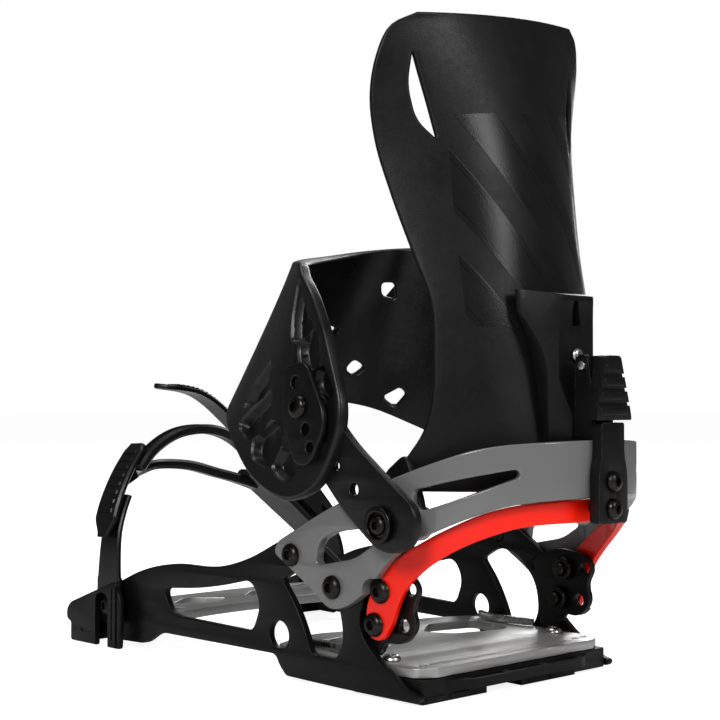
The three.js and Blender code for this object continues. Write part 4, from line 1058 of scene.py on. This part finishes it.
def toe_slider():
    curve = spline([(-68, 80.5, 46.5), (-64.4, 81, 60), (-57.6, 82, 73.6), (-48.6, 83, 86)])

    def section(u):
        taper = 1 - 0.55 * (1 - smooth(u, 0, 0.2)) - 0.25 * smooth(u, 0.9, 1)
        return strip_section((16 - 3 * u) * taper, 2.6, 0.8)

    def rib(u):
        return [(a, b + 1.2) for a, b in strip_section(10 - 2 * u, 1.2, 0.4)]
    ribs = [swept(curve, toe_facing, rib, 3, start, start + 0.035) for start in np.arange(0.24, 0.9, 0.09)]
    piece("toe_slider", joined(swept(curve, toe_facing, section, 50), *ribs))


def toe_cap():
    """Two grooved bands over the toe that meet in a plain plate on the far side."""
    bands = [
        spline([(-50.6, 80, 76), (-43.4, 80, 84), (-30, 80.5, 91), (-12, 81, 92.5), (2, 82, 88.5),
                (14, 83, 80), (25, 84, 68)]),
        spline([(-51.6, 85, 71.6), (-45, 90, 73.5), (-32, 95, 76.3), (-12, 97, 75.5), (4, 96.5, 71.5),
                (15, 95, 68.5), (25, 93, 65)])]
    far = spline([(17, 87, 71.5), (24, 87, 66.3), (34, 86.8, 58.2), (45, 86.2, 49.1), (55.5, 85.5, 40.4)])

    def grooved(u):
        depth = 1.1 * smooth(u, 0.02, 0.08) * (1 - smooth(u, 0.9, 0.98)) + 0.01
        return strip_section(8, 4.4, 1.2, depth, 1.5)

    def plain(u):
        return strip_section(26 - 6 * u - 8 * (1 - smooth(u, 0, 0.12)), 3.2, 1.0)
    parts = [swept(band, toe_facing, grooved, 70) for band in bands]
    piece("toe_cap", joined(*parts, swept(far, toe_facing, plain, 40)), 40)


def toe_ladder():
    through = [on_buckle(TOE_BUCKLE, *place) for place in ((-16, 4.2), (0, 3.3), (15, 3.3))]
    curve = spline([(TOE_INNER_X, 80, 23), (TOE_INNER_X, 80.5, 30), (64.4, 82.5, 37), *through,
                    (22, 87.5, 80), (6, 89, 96.5), (-12, 90, 109), (-34, 91, 112.5)])

    def section(u):
        tip = max(0, (u - 0.93) / 0.07)
        return strip_section(14 * math.sqrt(max(0.06, 1 - tip ** 2)), LADDER_THICK, 0.6)
    strap = swept(curve, toe_facing, section, 80)
    piece("toe_ladder", joined(strap, toe_eye(1, 7.6), *teeth(curve, toe_facing, 0.36, 0.93, 34, 10)))


# ---------------- stage
def area_light(name, place, target, size, power):
    data = bpy.data.lights.new(name, "AREA")
    data.shape, data.size, data.size_y, data.energy = "RECTANGLE", *size, power
    light = bpy.data.objects.new(name, data)
    light.location = place
    light.rotation_euler = (Vector(target) - Vector(place)).to_track_quat("-Z", "Y").to_euler()
    bpy.context.scene.collection.objects.link(light)


def floor_finish():
    """Pale floor that glows only where the camera sees it directly."""
    look = Finish("floor", (0.86, 0.86, 0.86), 0.6, Specular_IOR_Level=0.2)
    look.rough(look.spread(look.noise(60, 3), 0.55, 0.65))
    seen = look.node("ShaderNodeLightPath").outputs["Is Camera Ray"]
    look.shader.inputs["Emission Color"].default_value = (1, 1, 1, 1)
    look.tree.links.new(look.maths("MULTIPLY", seen, 0.88), look.shader.inputs["Emission Strength"])
    return look.material


def pale_floor():
    work = bmesh.new()
    bmesh.ops.create_grid(work, size=12, x_segments=1, y_segments=1)
    floor = bpy.data.objects.new("floor", stored(work))
    floor.location.z = -0.0003
    floor.data.materials.append(floor_finish())
    bpy.context.scene.collection.objects.link(floor)
    floor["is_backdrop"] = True


def surroundings():
    """Soft white all round, dimmer for everything but the camera."""
    world = bpy.data.worlds.new("studio")
    bpy.context.scene.world = world
    world.use_nodes = True
    tree = world.node_tree
    background = tree.nodes["Background"]
    path = tree.nodes.new("ShaderNodeLightPath")
    level = tree.nodes.new("ShaderNodeMapRange")
    level.inputs["To Min"].default_value, level.inputs["To Max"].default_value = 0.11, 1.0
    tree.links.new(path.outputs["Is Camera Ray"], level.inputs["Value"])
    tree.links.new(level.outputs["Result"], background.inputs["Strength"])
    background.inputs["Color"].default_value = (1, 1, 1, 1)


def lights():
    middle = (0, -0.02, 0.1)
    area_light("key", (-0.95, -0.6, 0.75), middle, (0.35, 0.35), 9)
    area_light("rear", (0.15, -1.1, 0.7), middle, (0.25, 0.5), 4)
    area_light("top", (0.0, 0.1, 1.3), middle, (0.8, 0.5), 5)
    area_light("rim", (0.9, 0.5, 0.6), middle, (0.3, 0.8), 4)


CAMERA_PLACE = (-0.3911, -0.4386, 0.1038)
CAMERA_TILT, CAMERA_TURN = 91.85, -42.37


def camera():
    data = bpy.data.cameras.new("camera")
    data.lens, data.sensor_width, data.clip_start = 69.25, 36, 0.01
    obj = bpy.data.objects.new("camera", data)
    obj.location = CAMERA_PLACE
    obj.rotation_euler = (math.radians(CAMERA_TILT), 0, math.radians(CAMERA_TURN))
    bpy.context.scene.collection.objects.link(obj)
    bpy.context.scene.camera = obj
    bpy.context.scene.view_settings.view_transform = "Standard"


for build in (camera, pale_floor, surroundings, lights,
              side_plates, inner_brackets, toe_blocks, rear_deck, front_deck, heel_bumper, latch_jaws,
              heel_hoop, lower_hoop, rear_parts, side_fasteners, rear_fasteners, highback,
              ankle_pad, ankle_mount, ankle_ladder, toe_adjust_strap, toe_slider, toe_cap, toe_ladder,
              buckles):
    build()


def listed(sizes):
    if isinstance(sizes, dict):
        return {str(key): listed(value) for key, value in sizes.items()}
    if isinstance(sizes, (int, float, str)) or sizes is None:
        return sizes
    return [listed(value) for value in sizes]


{"cad": listed(cad_bounds), "visual": listed(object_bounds())}
